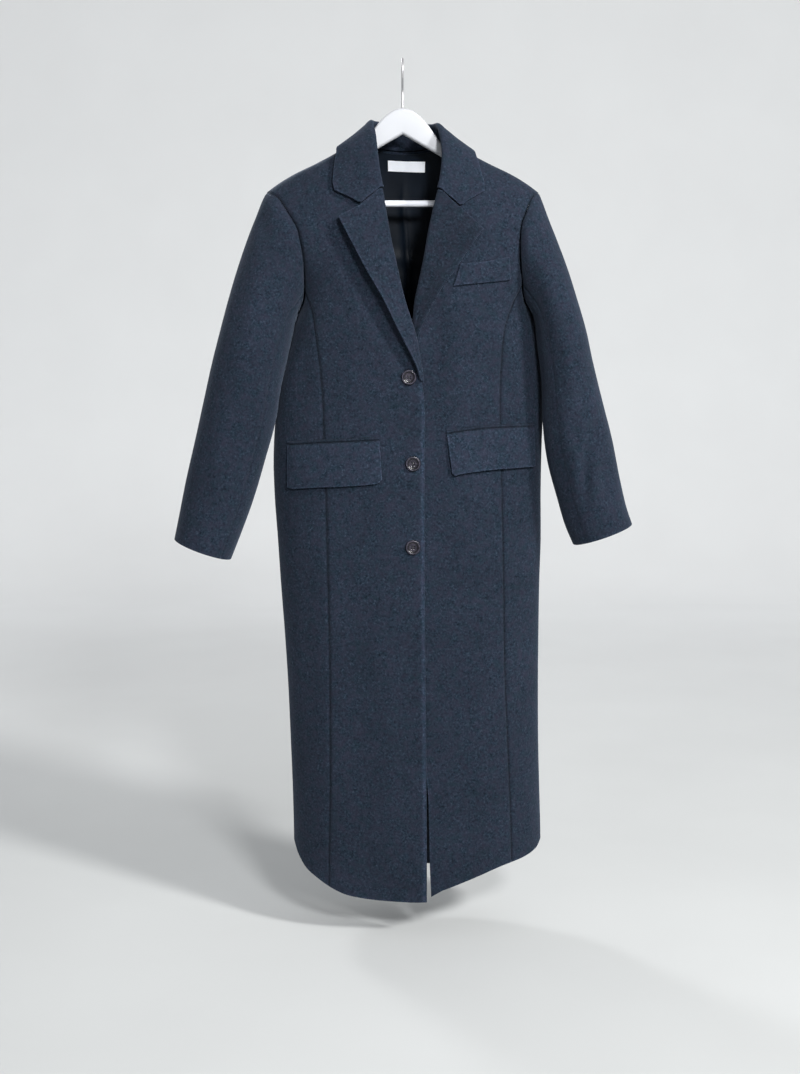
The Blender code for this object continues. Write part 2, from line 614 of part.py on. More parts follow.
def wall(name, grid, out, inward, material):
    """A closed wall on a grid of (point, normal): out and inward are its reach along the normals."""
    rows, columns = len(grid), len(grid[0])
    mesh = bmesh.new()
    outer = [[mesh.verts.new(point + normal * out) for point, normal in row] for row in grid]
    inner = [[mesh.verts.new(point - normal * inward) for point, normal in row] for row in grid]
    for i in range(rows - 1):
        for j in range(columns - 1):
            mesh.faces.new((outer[i][j], outer[i][j + 1], outer[i + 1][j + 1], outer[i + 1][j]))
            mesh.faces.new((inner[i][j], inner[i + 1][j], inner[i + 1][j + 1], inner[i][j + 1]))
    rim = [(0, j) for j in range(columns)]
    rim += [(i, columns - 1) for i in range(1, rows)]
    rim += [(rows - 1, j) for j in range(columns - 2, -1, -1)]
    rim += [(i, 0) for i in range(rows - 2, 0, -1)]
    for (i, j), (k, m) in zip(rim, rim[1:] + rim[:1]):
        mesh.faces.new((outer[k][m], outer[i][j], inner[i][j], inner[k][m]))
    bmesh.ops.recalc_face_normals(mesh, faces=mesh.faces)
    return add_object(name, mesh, material)


def grid_normals(points, outward, closed=False):
    """Normals of a grid of points. outward is (row, column, direction) of one that is known."""
    rows, columns = len(points), len(points[0])
    grid = []
    for i in range(rows):
        line = []
        for j in range(columns):
            up = points[min(i + 1, rows - 1)][j] - points[max(i - 1, 0)][j]
            if closed:
                along = points[i][(j + 1) % columns] - points[i][j - 1]
            else:
                along = points[i][min(j + 1, columns - 1)] - points[i][max(j - 1, 0)]
            line.append((points[i][j], along.cross(up).normalized()))
        grid.append(line)
    row, column, direction = outward
    if grid[row][column][1].dot(direction) < 0:
        grid = [[(point, -normal) for point, normal in line] for line in grid]
    return grid


SLIVER = 1e-12               # a facet of less area takes no point
OUTSIDE = -1e-4              # a corner's share down to this still counts as on the facet


def on_facets(*grids):
    """Point and normal at x and z on the flat faces of panels, given as their grids."""
    def place(x, z):
        spot = Vector((x, z))
        for grid in grids:
            for low, high in zip(grid, grid[1:]):
                for j in range(len(low) - 1):
                    corners = (low[j], low[j + 1], high[j + 1], high[j])
                    flat = [Vector((point.x, point.z)) for point, _ in corners]
                    for a, b, c in ((0, 1, 2), (0, 2, 3)):
                        share = triangle_share(spot, flat[a], flat[b], flat[c])
                        if share is None:
                            continue
                        point = sum((corners[k][0] * w for k, w in zip((a, b, c), share)), Vector())
                        normal = sum((corners[k][1] * w for k, w in zip((a, b, c), share)), Vector())
                        return point, normal.normalized()
        raise ValueError(f"no panel at {x:.4f}, {z:.4f}")
    return place


def triangle_share(spot, a, b, c):
    """Shares of three corners at a spot inside their triangle, or None outside it."""
    whole = (b - a).cross(c - a)
    if abs(whole) < SLIVER:
        return None
    on_b = (spot - a).cross(c - a) / whole
    on_c = (b - a).cross(spot - a) / whole
    if min(on_b, on_c, 1 - on_b - on_c) < OUTSIDE:
        return None
    return 1 - on_b - on_c, on_b, on_c


def edge_at(grid, column, z):
    """Point and normal on one column of a grid, at height z."""
    for (low, low_normal), (high, high_normal) in zip([row[column] for row in grid],
                                                      [row[column] for row in grid[1:]]):
        if low.z <= z <= high.z:
            share = (z - low.z) / (high.z - low.z)
            return low.lerp(high, share), low_normal.lerp(high_normal, share).normalized()
    raise ValueError(f"no edge at {z:.4f}")


# ---- body panels -------------------------------------------------------------------------------

LOWER_ROWS = 15              # rows of a panel from the hem up to the armhole
UPPER_ROWS = 9               # and from there to the shoulder
BACK_UPPER_ROWS = 11         # of the back, from the underarm to the shoulder
HEM_ZONE = -1.180            # the hem's curve fades out up to this height
CROWDING = 1.4               # the rows lie closer together towards the armhole
HEM_ROWS = 3                 # rows in the hem's zone
FRONT_COLUMNS = 9
SIDE_COLUMNS = 5
BACK_COLUMNS = 6             # of the back over each shoulder, and as many across the neck
SETTLE = 4                   # times a height and its x are worked out from each other
HALVINGS = 30


def panel_row_heights(hem, split):
    """Heights up one column, from its hem to the start of the armhole."""
    heights = [mix(hem, HEM_ZONE, share) for share in steps(HEM_ROWS)[:-1]]
    rises = [1 - (1 - share) ** CROWDING for share in steps(LOWER_ROWS - HEM_ROWS)]
    return heights + [mix(HEM_ZONE, split, rise) for rise in rises]


def panel(side, left_edge, right_edge, split, columns, top=None, under=False):
    """Grid of a panel between two edges, x by height, from the hem up to split and then, where
    top gives the two upper edges and the top line, on to the shoulder."""
    hem = hem_front if side == FRONT else hem_back
    shares = steps(columns)
    grid = []
    for row in range(LOWER_ROWS + 1):
        line = []
        for share in shares:
            z = split if row == LOWER_ROWS else HEM_ZONE
            for _ in range(SETTLE):
                w = mix(across(left_edge(z), z), across(right_edge(z), z), share)
                x = x_across(w, z)
                z = panel_row_heights(hem(x), split)[row]
            line.append(cloth(side, x, z, under))
        grid.append(line)
    if top is None:
        return grid
    left_path, right_path, top_x, top_height, rises = top
    left_w = across(left_path(1)[0], left_path(1)[1])
    right_w = across(right_path(1)[0], right_path(1)[1])
    top_shares = [(across(x, top_height(x)) - left_w) / (right_w - left_w) for x in top_x]
    for rise in rises:
        (left_x, left_z), (right_x, right_z) = left_path(rise), right_path(rise)
        line = []
        for low, high, goal in zip(shares, top_shares, top_x):
            share = mix(low, high, rise)
            goal_z = top_height(goal)
            chord = mix(left_path(1)[1], right_path(1)[1], high)
            z = mix(left_z, right_z, share) + (goal_z - chord) * rise ** 2
            w = mix(across(left_x, left_z), across(right_x, right_z), share)
            x = x_across(w, z)
            if rise == 1:
                x, z = goal, goal_z
            z = min(z, shoulder_height(x))
            line.append(cloth(side, x, z, under))
        grid.append(line)
    return grid


def upper_path(edge, low, high):
    """Edge of a panel above its split: share of the way up to (x, z)."""
    def path(share):
        z = mix(low, high, share)
        return edge(z), z
    return path


def spread(start, end, count):
    return [mix(start, end, share) for share in steps(count)]


FRONT_RISES = [math.sin(math.pi / 2 * share) for share in steps(UPPER_ROWS)[1:]]
BACK_RISES = [(1 - math.cos(math.pi * share)) / 2 for share in steps(BACK_UPPER_ROWS)[1:]]


def top_front_grid():
    top = (upper_path(armhole["left", FRONT], PRINCESS_TOP_LEFT, shoulder_height(SHOULDER_TIP)),
           upper_path(top_edge, PRINCESS_TOP_LEFT, shoulder_height(NECK_LEFT)),
           spread(-SHOULDER_TIP, NECK_LEFT, FRONT_COLUMNS), shoulder_height, FRONT_RISES)
    return panel(FRONT, princess_left, top_edge, PRINCESS_TOP_LEFT, FRONT_COLUMNS, top)


def under_front_grid():
    top = (upper_path(under_edge, PRINCESS_TOP_RIGHT, shoulder_height(NECK_RIGHT)),
           upper_path(armhole["right", FRONT], PRINCESS_TOP_RIGHT, shoulder_height(SHOULDER_TIP)),
           spread(NECK_RIGHT, SHOULDER_TIP, FRONT_COLUMNS), shoulder_height, FRONT_RISES)
    return panel(FRONT, under_edge, princess_right, PRINCESS_TOP_RIGHT, FRONT_COLUMNS, top,
                 under=True)


def build_panel(name, grid, material):
    trimmed = [list(row) for row in grid]
    trim(trimmed, SEAM / 2)
    wall(name, trimmed, 0, WALL, material)


def armhole_top(side_name, princess_top):
    """Height at which a column of the side front, w across, ends on the armhole."""
    edge = armhole[side_name, FRONT]

    def height(w):
        low, high = UNDERARM, princess_top
        for _ in range(HALVINGS):
            middle = (low + high) / 2
            if abs(across(edge(middle), middle)) > abs(w):
                low = middle
            else:
                high = middle
        return middle
    return height


def side_panel(side_name, princess, princess_top):
    """Grid of a side front: from the hem to the armhole's lower end."""
    sign = -1 if side_name == "left" else 1
    top_height = armhole_top(side_name, princess_top)
    top_w = across(princess(princess_top), princess_top)
    grid = []
    for row in range(LOWER_ROWS + 1):
        line = []
        for share in steps(SIDE_COLUMNS):
            reach = mix(sign, top_w, share)
            split = UNDERARM if share == 0 else top_height(reach)
            z = HEM_ZONE if row < LOWER_ROWS else split
            for _ in range(SETTLE):
                w = mix(sign, across(princess(z), z), share)
                z = panel_row_heights(hem_front(x_across(w, z)), split)[row]
            if row == LOWER_ROWS:
                w = reach
            line.append((body_point(FRONT, w, z), body_normal(FRONT, w, z)))
        grid.append(line)
    return grid


def back_neckline(x):
    """Height of the back neckline; past the neck points it is the shoulder line."""
    reach = NECK_LEFT if x < 0 else NECK_RIGHT
    if abs(x) >= abs(reach):
        return shoulder_height(x)
    return mix(BACK_NECK_HEIGHT, shoulder_height(reach), (x / reach) ** 2)


def back_grid():
    tip = shoulder_height(SHOULDER_TIP)
    top_x = spread(-SHOULDER_TIP, NECK_LEFT, BACK_COLUMNS)
    top_x += spread(NECK_LEFT, NECK_RIGHT, BACK_COLUMNS)[1:]
    top_x += spread(NECK_RIGHT, SHOULDER_TIP, BACK_COLUMNS)[1:]
    top = (upper_path(armhole["left", BACK], UNDERARM, tip),
           upper_path(armhole["right", BACK], UNDERARM, tip), top_x, back_neckline, BACK_RISES)
    return panel(BACK, body_left, body_right, UNDERARM, len(top_x) - 1, top)


# ---- sleeves -----------------------------------------------------------------------------------

def armhole_ring(front, side, back, at_left):
    """Edge of the body round one armhole, as (angle, point, normal): 0 is the shoulder tip,
    positive in front, and half a turn is the underarm."""
    column = 0 if at_left else -1
    tip = shoulder_height(SHOULDER_TIP)

    def angle(point):
        return math.acos(min(max(2 * (point.z - UNDERARM) / (tip - UNDERARM) - 1, -1), 1))

    behind = [row[column] for row in back[LOWER_ROWS:]]
    ahead = [row[column] for row in front[LOWER_ROWS:-1]][::-1]
    below = side[-1][::-1][1:-1]
    ring = [(-angle(point), point, normal) for point, normal in behind]
    return ring + [(angle(point), point, normal) for point, normal in ahead + below]


def ring_center(row):
    return Vector(((row.out_x + row.in_x) / 2, row.middle_y, (row.out_z + row.in_z) / 2))


def ring_point(row, angle):
    """Point of a sleeve's ring, an ellipse between its outer and inner edge."""
    half = Vector((row.out_x - row.in_x, 0, row.out_z - row.in_z)) / 2
    return ring_center(row) + half * math.cos(angle) - Vector((0, row.half_depth * math.sin(angle), 0))


def sleeve_point(table, index, angle, start, creases):
    row = table[index]
    point = ring_point(row, angle)
    point += (start - ring_point(table[0], angle)) * (1 - fade(0, SLEEVE_BLEND, index))
    for crease in creases:
        near = math.exp(-((row.out_z - crease.out_height) / crease.length) ** 2)
        near *= math.exp(-((angle - crease.angle) / crease.width) ** 2)
        point += (ring_center(row) - point).normalized() * crease.depth * near
    return point


def sleeve_grid(table, ring, creases):
    """Closed grid of a sleeve. Its first rings stand proud of the armhole's edge."""
    last = len(table) - 1
    known = (last, 0, ring_point(table[last], ring[0][0]) - ring_center(table[last]))

    def rows(starts):
        return [[sleeve_point(table, i, angle, start, creases)
                 for (angle, _, _), start in zip(ring, starts)] for i in range(len(table))]

    flush = grid_normals(rows([point for _, point, _ in ring]), known, closed=True)
    proud = []
    for (angle, point, normal), (_, sleeve_normal) in zip(ring, flush[0]):
        lap = max(sleeve_normal.dot(normal), 0.0)
        clear = mix(TIP_CLEAR, SLEEVE_CLEAR, fade(TIP_ANGLE, SIDE_ANGLE, abs(angle)))
        proud.append(point + normal * (clear + WALL * lap))
    return grid_normals(rows(proud), known, closed=True)


def build_sleeve(word, table, ring, creases, material):
    grid = sleeve_grid(table, ring, creases)
    back_seam = BACK_SLEEVE_SEAM
    front_seam = BACK_UPPER_ROWS + UPPER_ROWS
    top = [line[back_seam:front_seam + 1] for line in grid]
    under = [line[front_seam:] + line[:back_seam + 1] for line in grid]
    build_panel("sleeve_top_" + word, top, material)
    build_panel("sleeve_under_" + word, under, material)


# ---- lapels ------------------------------------------------------------------------------------

def table_row(table, at):
    """A row between the rows of a table, smooth."""
    vectors = [Vector(row) for row in table]
    return type(table[0])(*spline_point(vectors, at))


def lapel_line(row, front, under, towards):
    """Middle of the cloth along one row: out of the front's edge, round the roll, and back."""
    base, normal = edge_at(front, -1 if towards > 0 else 0, row.roll_z)
    away = Vector((towards, 0, 0))
    away = (away - normal * away.dot(normal)).normalized()
    start = base - normal * (WALL / 2) + away * SEAM
    pivot = start + normal * ROLL_RADIUS + away * ROLL_LEAD
    points = [start]
    for share in steps(ROLL_POINTS - 1):
        angle = math.pi * share - math.pi / 2
        points.append(pivot + (normal * math.sin(angle) + away * math.cos(angle)) * ROLL_RADIUS)
    height = 2 * ROLL_RADIUS - WALL / 2
    for share in steps(LAPEL_COLUMNS)[1:]:
        first = mix(Vector((base.x, row.roll_z)), Vector((row.mid_x, row.mid_z)), min(share * 2, 1))
        second = mix(first, Vector((row.outer_x, row.outer_z)), max(share * 2 - 1, 0))
        point, lift = cloth(FRONT, second.x, second.y, under)
        points.append(point + lift * (height + row.lift * share))
    return points


def build_lapel(name, table, front, under, towards, material):
    count = (len(table) - 1) * LAPEL_STEPS
    rows = [table_row(table, i / LAPEL_STEPS) for i in range(count + 1)]
    points = [lapel_line(row, front, under, towards) for row in rows]
    grid = grid_normals(points, (count // 2, len(points[0]) - 1, Vector((0, -1, 0))))
    trim(grid, SEAM / 2)
    wall(name, grid, LAPEL_WALL / 2, LAPEL_WALL / 2, material)


# ---- collar ------------------------------------------------------------------------------------

def collar_station(row):
    """Seam, fold, middle and edge of the collar at one row of its table."""
    seam, seam_normal = cloth(row.seam_side, row.seam_x, row.seam_z)
    seam -= seam_normal * (WALL / 2)
    if row.fold_x is None:
        # at the gorge the collar turns over like the lapel below it
        away = Vector((-row.seam_x, 0, 0))
        away = (away - seam_normal * away.dot(seam_normal)).normalized()
        seam += away * GORGE_CLEAR
        fold = seam + away * (ROLL_RADIUS + GORGE_LEAD)
    else:
        fold = Vector((row.fold_x, row.fold_y, row.fold_z))
        seam += (fold - seam).normalized() * COLLAR_CLEAR
    edge, edge_normal = cloth(row.side, row.edge_x, min(row.edge_z, shoulder_height(row.edge_x)))
    edge += edge_normal * row.lift
    if row.mid_x is None:
        # round the neck the fall hangs free from the fold to its edge
        outward = Vector((fold.x - NECK_MIDDLE, fold.y, 0)).normalized()
        middle = (fold + outward * 2 * ROLL_RADIUS).lerp(edge, 0.5)
    else:
        middle, middle_normal = cloth(row.side, row.mid_x, row.mid_z)
        middle += middle_normal * (row.lift + FALL_SWELL)
    return seam, fold, middle, edge


def collar_line(seam, fold, middle, edge, along):
    """Middle of the collar's cloth: up the stand, over the fold and down the fall. The roll
    turns square to along, the direction of the fold line."""
    rise = (fold - seam).normalized()
    along = (along - rise * along.dot(rise)).normalized()
    fall = middle - fold
    fall = (fall - rise * fall.dot(rise) - along * fall.dot(along)).normalized()
    pivot = fold + fall * ROLL_RADIUS - rise * ROLL_RADIUS
    inner = pivot - fall * ROLL_RADIUS
    points = [seam.lerp(inner, share) for share in steps(COLLAR_RISE)[:-1]]
    # the roll ends where its tangent runs to the middle of the fall
    reach = Vector(((middle - pivot).dot(fall), (middle - pivot).dot(rise)))
    leave = math.atan2(reach.y, reach.x) + math.acos(ROLL_RADIUS / reach.length)
    for share in steps(ROLL_POINTS - 1):
        angle = mix(math.pi, leave, share)
        points.append(pivot + (fall * math.cos(angle) + rise * math.sin(angle)) * ROLL_RADIUS)
    last = points[-1]
    points += [last.lerp(middle, share) for share in steps(COLLAR_FALL)[1:]]
    points += [middle.lerp(edge, share) for share in steps(COLLAR_FALL)[1:]]
    return points


def build_collar(material):
    stations = [collar_station(row) for row in COLLAR]
    tracks = list(zip(*stations))
    count = (len(COLLAR) - 1) * COLLAR_STEPS
    points = []
    for i in range(count + 1):
        at = i / COLLAR_STEPS
        ahead, behind = min(at + 0.5, len(COLLAR) - 1), max(at - 0.5, 0)
        along = spline_point(tracks[1], ahead) - spline_point(tracks[1], behind)
        points.append(collar_line(*(spline_point(track, at) for track in tracks), along))
    grid = grid_normals(points, (count // 2, len(points[0]) - 1, Vector((0, 1, 0))))
    trim(grid, GORGE_GAP)
    wall("collar", grid, COLLAR_WALL / 2, COLLAR_WALL / 2, material)


# ---- pockets, label, lining and buttons --------------------------------------------------------

def patch_lines(patch, panels):
    """Lines down a patch, in order: fixed shares of its width, and columns of the panels."""
    top, bottom = Line(patch.rows, "share", "top"), Line(patch.rows, "share", "bottom")
    middle = (top(0.5) + bottom(0.5)) / 2
    left = (patch.left_top + patch.left_bottom) / 2
    right = (patch.right_top + patch.right_bottom) / 2
    lines = [(row.share, None, None) for row in patch.rows]
    for grid in panels:
        for column in range(len(grid[0])):
            if not grid[0][column][0].z <= middle <= grid[-1][column][0].z:
                continue
            share = (edge_at(grid, column, middle)[0].x - left) / (right - left)
            if NEAR_LINE < share < 1 - NEAR_LINE:
                lines = [line for line in lines
                         if line[1] or line[0] in (0.0, 1.0) or abs(line[0] - share) > NEAR_LINE]
                if all(abs(line[0] - share) > NEAR_LINE / 2 for line in lines):
                    lines.append((share, grid, column))
    return sorted(lines, key=lambda line: line[0])


def patch_grid(patch, offset, panels, rows=PATCH_ROWS):
    """Grid of a patch that lies on panels and bends where they do."""
    top, bottom = Line(patch.rows, "share", "top"), Line(patch.rows, "share", "bottom")
    place = on_facets(*panels)
    lines = patch_lines(patch, panels)
    grid = []
    for rise in steps(rows):
        left = mix(patch.left_bottom, patch.left_top, rise)
        right = mix(patch.right_bottom, patch.right_top, rise)
        row = []
        for share, panel_grid, column in lines:
            if panel_grid is None:
                x = mix(left, right, share)
                z = mix(bottom(share), top(share), rise)
            else:
                for _ in range(SETTLE):
                    z = mix(bottom(share), top(share), rise)
                    x = edge_at(panel_grid, column, z)[0].x
                    share = (x - left) / (right - left)
            point, normal = place(x, z)
            row.append((point + normal * offset, normal))
        grid.append(row)
    return grid


def jet_of(flap):
    rows = [PatchRow(row.share, row.top + SEAM + JET_HEIGHT, row.top + SEAM) for row in flap.rows]
    return flap._replace(rows=rows, left_bottom=flap.left_top, right_bottom=flap.right_top)


def build_pocket(word, flap, panels, material):
    wall("pocket_flap_" + word, patch_grid(flap, PATCH_OFFSET, panels), FLAP_WALL, 0, material)
    jet = patch_grid(jet_of(flap), PATCH_OFFSET, panels, rows=1)
    wall("pocket_jet_" + word, jet, FLAP_WALL / 2, 0, material)


def between(row, at):
    """Point and normal on one row of a grid, at counts its columns."""
    j = min(int(at), len(row) - 2)
    return row[j][0].lerp(row[j + 1][0], at - j), row[j][1].lerp(row[j + 1][1], at - j)


def lining_columns(back):
    """Columns of the back that the lining follows, closer together at its folds."""
    whole = range(LINING_SIDE, len(back[0]) - LINING_SIDE)
    folds = [pleat.column + beside * PLEAT_STEP for pleat in PLEATS for beside in (-2, -1, 0, 1, 2)]
    return sorted(set(whole) | set(folds))


def lining_grid(back):
    """Grid of the lining, made from the points of the back and moved in."""
    grid = []
    columns = lining_columns(back)
    last = len(back) - 1
    for number, row in enumerate(back):
        line = []
        for at in columns:
            point, normal = between(row, at)
            if number in (0, last):
                beside, beside_normal = between(back[1 if number == 0 else last - 1], at)
                gap = LINING_HEM if number == 0 else LINING_TOP_GAP
                share = gap / (beside - point).length
                point, normal = point.lerp(beside, share), normal.lerp(beside_normal, share)
            fold = sum(pleat.depth * math.exp(-((at - pleat.column) / PLEAT_WIDTH) ** 2)
                       for pleat in PLEATS) * fade(PLEAT_START, PLEAT_FULL, point.z)
            fold += LINING_EASE * fade(EASE_START, BACK_NECK_HEIGHT, point.z)
            line.append((point - normal * (WALL + LINING_GAP) - normal.normalized() * fold,
                         normal.normalized()))
        grid.append(line)
    return grid


def build_lining(lining, material):
    wall("back_lining", lining, 0, LINING_WALL, material)


def build_label(lining, material):
    grid = patch_grid(LABEL, 0, [lining], rows=2)
    inside = LINING_WALL + SEAM
    wall("neck_label", grid, -inside, inside + LABEL_WALL, material)


def build_buttons(material):
    for row in BUTTONS:
        base, normal = cloth(FRONT, row.x, row.height)
        mesh = bmesh.new()
        rings = []
        for profile in BUTTON_PROFILE:
            ring = []
            for side in range(BUTTON_SIDES):
                turn = 2 * math.pi * side / BUTTON_SIDES
                ring.append(mesh.verts.new((profile.radius * math.cos(turn),
                                            profile.radius * math.sin(turn), profile.height)))
            rings.append(ring)
        close_tube(mesh, rings)
        turn = Vector((0, 0, 1)).rotation_difference(normal).to_matrix().to_4x4()
        spot = Matrix.Translation(base + normal * BUTTON_SEAT)
        bmesh.ops.transform(mesh, matrix=spot @ turn, verts=mesh.verts)
        add_object(row.name, mesh, material)


# ---- hanger ------------------------------------------------------------------------------------

def arm_seat(out):
    """Height at which the shoulder rests on the arm."""
    return shoulder_height(out) - SEAT_GAP / shoulder_normal(out).z


def hanger_rows():
    """Top and bottom of the hanger, out from the middle to the end of one arm."""
    rows = list(HANGER)
    for out in spread(ARM_SEAT_START, BAR_HALF, ARM_ROWS):
        rows.append(HangerRow(out, arm_seat(out), HANGER[0].bottom - ARM_SLOPE * out))
    for row in ARM_TIP:
        rows.append(HangerRow(row.out, arm_seat(row.out) + row.top, ARM_FOOT + row.bottom))
    return rows


def hanger_section(row, sign):
    """Points round the hanger at one place: a rounded rectangle."""
    half = HANGER_THICK / 2
    points = []
    for corner_y, corner_z, start in ((half - HANGER_EDGE, row.top - HANGER_EDGE, 0),
                                      (-half + HANGER_EDGE, row.top - HANGER_EDGE, 90),
                                      (-half + HANGER_EDGE, row.bottom + HANGER_EDGE, 180),
                                      (half - HANGER_EDGE, row.bottom + HANGER_EDGE, 270)):
        for turn in (0, 45, 90):
            angle = math.radians(start + turn)
            points.append(Vector((sign * row.out, corner_y + HANGER_EDGE * math.cos(angle),
                                  corner_z + HANGER_EDGE * math.sin(angle))))
    return points


def build_hanger_body(material):
    rows = hanger_rows()
    sections = [hanger_section(row, -1) for row in reversed(rows[1:])]
    sections += [hanger_section(row, 1) for row in rows]
    mesh = bmesh.new()
    close_tube(mesh, [[mesh.verts.new(point) for point in section] for section in sections])
    add_object("hanger_body", mesh, material)


def build_hanger_bar(material):
    mesh = bmesh.new()
    length = 2 * (BAR_HALF - SEAM)
    turn = Matrix.Translation((0, 0, BAR_HEIGHT)) @ Matrix.Rotation(math.pi / 2, 4, "Y")
    bmesh.ops.create_cone(mesh, cap_ends=True, segments=BAR_SIDES, radius1=BAR_RADIUS,
                          radius2=BAR_RADIUS, depth=length, matrix=turn)
    add_object("hanger_bar", mesh, material)


def hook_path():
    """Middle of the wire, from the mouth over the rail and down the stem."""
    radius = HOOK_INNER + HOOK_WIRE
    path = []
    for angle in spread(math.radians(HOOK_MOUTH), math.radians(HOOK_THROAT), HOOK_STEPS):
        path.append(Vector((0, radius * math.cos(angle), radius * math.sin(angle) - HOOK_INNER)))
    leave = path[-1]
    knee = Vector((0, 0, leave.z - HOOK_KNEE))
    foot = Vector((0, 0, HANGER[0].top + SEAM))
    guides = [path[-2], leave, leave.lerp(knee, 0.5), knee, knee.lerp(foot, 0.5), foot]
    for i in range(1, len(guides) - 1):
        for share in (0.5, 1.0):
            path.append(spline_point(guides, i + share))
    return path


def build_hook(material):
    path = hook_path()
    mesh = bmesh.new()
    rings = []
    across_wire = Vector((1, 0, 0))
    for i, point in enumerate(path):
        along = (path[min(i + 1, len(path) - 1)] - path[max(i - 1, 0)]).normalized()
        out = across_wire.cross(along)
        ring = []
        for turn in spread(0, 2 * math.pi, WIRE_SIDES)[:-1]:
            ring.append(mesh.verts.new(point + (across_wire * math.cos(turn)
                                                + out * math.sin(turn)) * HOOK_WIRE))
        rings.append(ring)
    close_tube(mesh, rings)
    add_object("hanger_hook", mesh, material)


def main():
    for thing in list(bpy.data.objects):
        bpy.data.objects.remove(thing)
    wool = make_material("wool", (0.030, 0.036, 0.052), 0.90)
    lining = make_material("lining", (0.010, 0.013, 0.018), 0.45)
    label = make_material("label", (0.80, 0.82, 0.88), 0.70)
    horn = make_material("horn", (0.045, 0.040, 0.045), 0.35)
    paint = make_material("white_paint", (0.88, 0.89, 0.90), 0.35)
    metal = make_material("hook_metal", (0.72, 0.72, 0.73), 0.25, metallic=1.0)
    top_front = top_front_grid()
    under_front = under_front_grid()
    side_right = side_panel("left", princess_left, PRINCESS_TOP_LEFT)
    side_left = side_panel("right", princess_right, PRINCESS_TOP_RIGHT)
    back = back_grid()
    build_panel("front_right", top_front, wool)
    build_panel("front_left", under_front, wool)
    build_panel("side_front_right", side_right, wool)
    build_panel("side_front_left", side_left, wool)
    build_panel("back", back, wool)
    ring = armhole_ring(top_front, side_right, back, at_left=True)
    build_sleeve("right", SLEEVE_RIGHT, ring, SLEEVE_CREASES_RIGHT, wool)
    ring = armhole_ring(under_front, side_left, back, at_left=False)
    build_sleeve("left", SLEEVE_LEFT, ring, SLEEVE_CREASES_LEFT, wool)
    build_collar(wool)
    build_lapel("lapel_right", LAPEL_RIGHT, top_front, False, 1, wool)
    build_lapel("lapel_left", LAPEL_LEFT, under_front, True, -1, wool)
    build_pocket("right", FLAP_RIGHT, (top_front, side_right), wool)
    build_pocket("left", FLAP_LEFT, (under_front, side_left), wool)
    chest = patch_grid(CHEST_WELT, 2 * PATCH_OFFSET, (under_front,))
    wall("chest_welt", chest, FLAP_WALL, 0, wool)
    lining_cloth = lining_grid(back)
    build_lining(lining_cloth, lining)
    build_label(lining_cloth, label)
    build_buttons(horn)
    build_hanger_body(paint)
    build_hanger_bar(paint)
    build_hook(metal)


main()
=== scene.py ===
"""The looks of a wool overcoat on a wooden hanger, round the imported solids.

Metres, +Z up. The front of the coat faces -Y and the wearer's left is at +X. Left and right are
the wearer's in the names of pieces and their tables. In the names of lines on the body they are
those of the photo, with left at -X. Each piece of cloth is made finer on the same points as its
solid, with soft seams, folded edges and creases.
"""

import math
from bisect import bisect_left
from collections import namedtuple

import bmesh
import bpy
import numpy as np
from mathutils import Matrix, Vector


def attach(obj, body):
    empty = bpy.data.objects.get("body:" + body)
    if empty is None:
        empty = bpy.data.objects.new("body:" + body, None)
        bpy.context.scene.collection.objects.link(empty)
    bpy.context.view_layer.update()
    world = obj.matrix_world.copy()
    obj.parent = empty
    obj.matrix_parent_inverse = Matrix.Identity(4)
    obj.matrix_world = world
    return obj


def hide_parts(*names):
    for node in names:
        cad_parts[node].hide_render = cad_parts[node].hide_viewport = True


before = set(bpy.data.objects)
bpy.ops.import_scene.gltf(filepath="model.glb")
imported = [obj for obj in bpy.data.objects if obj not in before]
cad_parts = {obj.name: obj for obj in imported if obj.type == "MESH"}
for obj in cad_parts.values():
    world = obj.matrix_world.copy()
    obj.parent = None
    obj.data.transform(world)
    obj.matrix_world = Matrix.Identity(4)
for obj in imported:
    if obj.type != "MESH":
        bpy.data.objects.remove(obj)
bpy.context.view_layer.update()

MM = 0.001
FRONT = -1
BACK = 1


# ---- curves through tables

def smooth_line(keys, values):
    """A smooth line through values at keys, as a function. It never overshoots between them."""
    widths = [high - low for low, high in zip(keys, keys[1:])]
    slopes = [(high - low) / width for low, high, width in zip(values, values[1:], widths)]
    tangents = [slopes[0]]
    for before, after in zip(slopes, slopes[1:]):
        tangents.append(2 * before * after / (before + after) if before * after > 0 else 0.0)
    tangents.append(slopes[-1])

    def value(at):
        at = min(max(at, keys[0]), keys[-1])
        i = max(bisect_left(keys, at) - 1, 0)
        t = (at - keys[i]) / widths[i]
        rise = tangents[i] * (t ** 3 - 2 * t ** 2 + t) + tangents[i + 1] * (t ** 3 - t ** 2)
        step = 3 * t ** 2 - 2 * t ** 3
        return values[i] * (1 - step) + values[i + 1] * step + rise * widths[i]
    return value


def lines(*rows):
    """Smooth lines through a table: one for each further column, by the number in the first."""
    keys, *columns = zip(*sorted(rows))
    return [smooth_line(keys, column) for column in columns]


def mix(start, end, share):
    return start + (end - start) * share


def fade(start, end, at):
    """0 before start, 1 past end, smooth between them."""
    share = min(max((at - start) / (end - start), 0.0), 1.0)
    return share * share * (3 - 2 * share)


def steps(count):
    return [i / count for i in range(count + 1)]


def spread(start, end, count):
    return [mix(start, end, share) for share in steps(count)]


def spline_point(points, at):
    """Point on a smooth curve through points; at counts rows, so 1.5 is between rows 1 and 2."""
    i = min(int(at), len(points) - 2)
    t = at - i
    here, after = points[i], points[i + 1]
    before = points[i - 1] if i > 0 else 2 * here - after
    beyond = points[i + 2] if i + 2 < len(points) else 2 * after - here
    return 0.5 * (2 * here + (after - before) * t
                  + (2 * before - 5 * here + 4 * after - beyond) * t * t
                  + (3 * here - before - 3 * after + beyond) * t * t * t)


# ---- shoulders and body

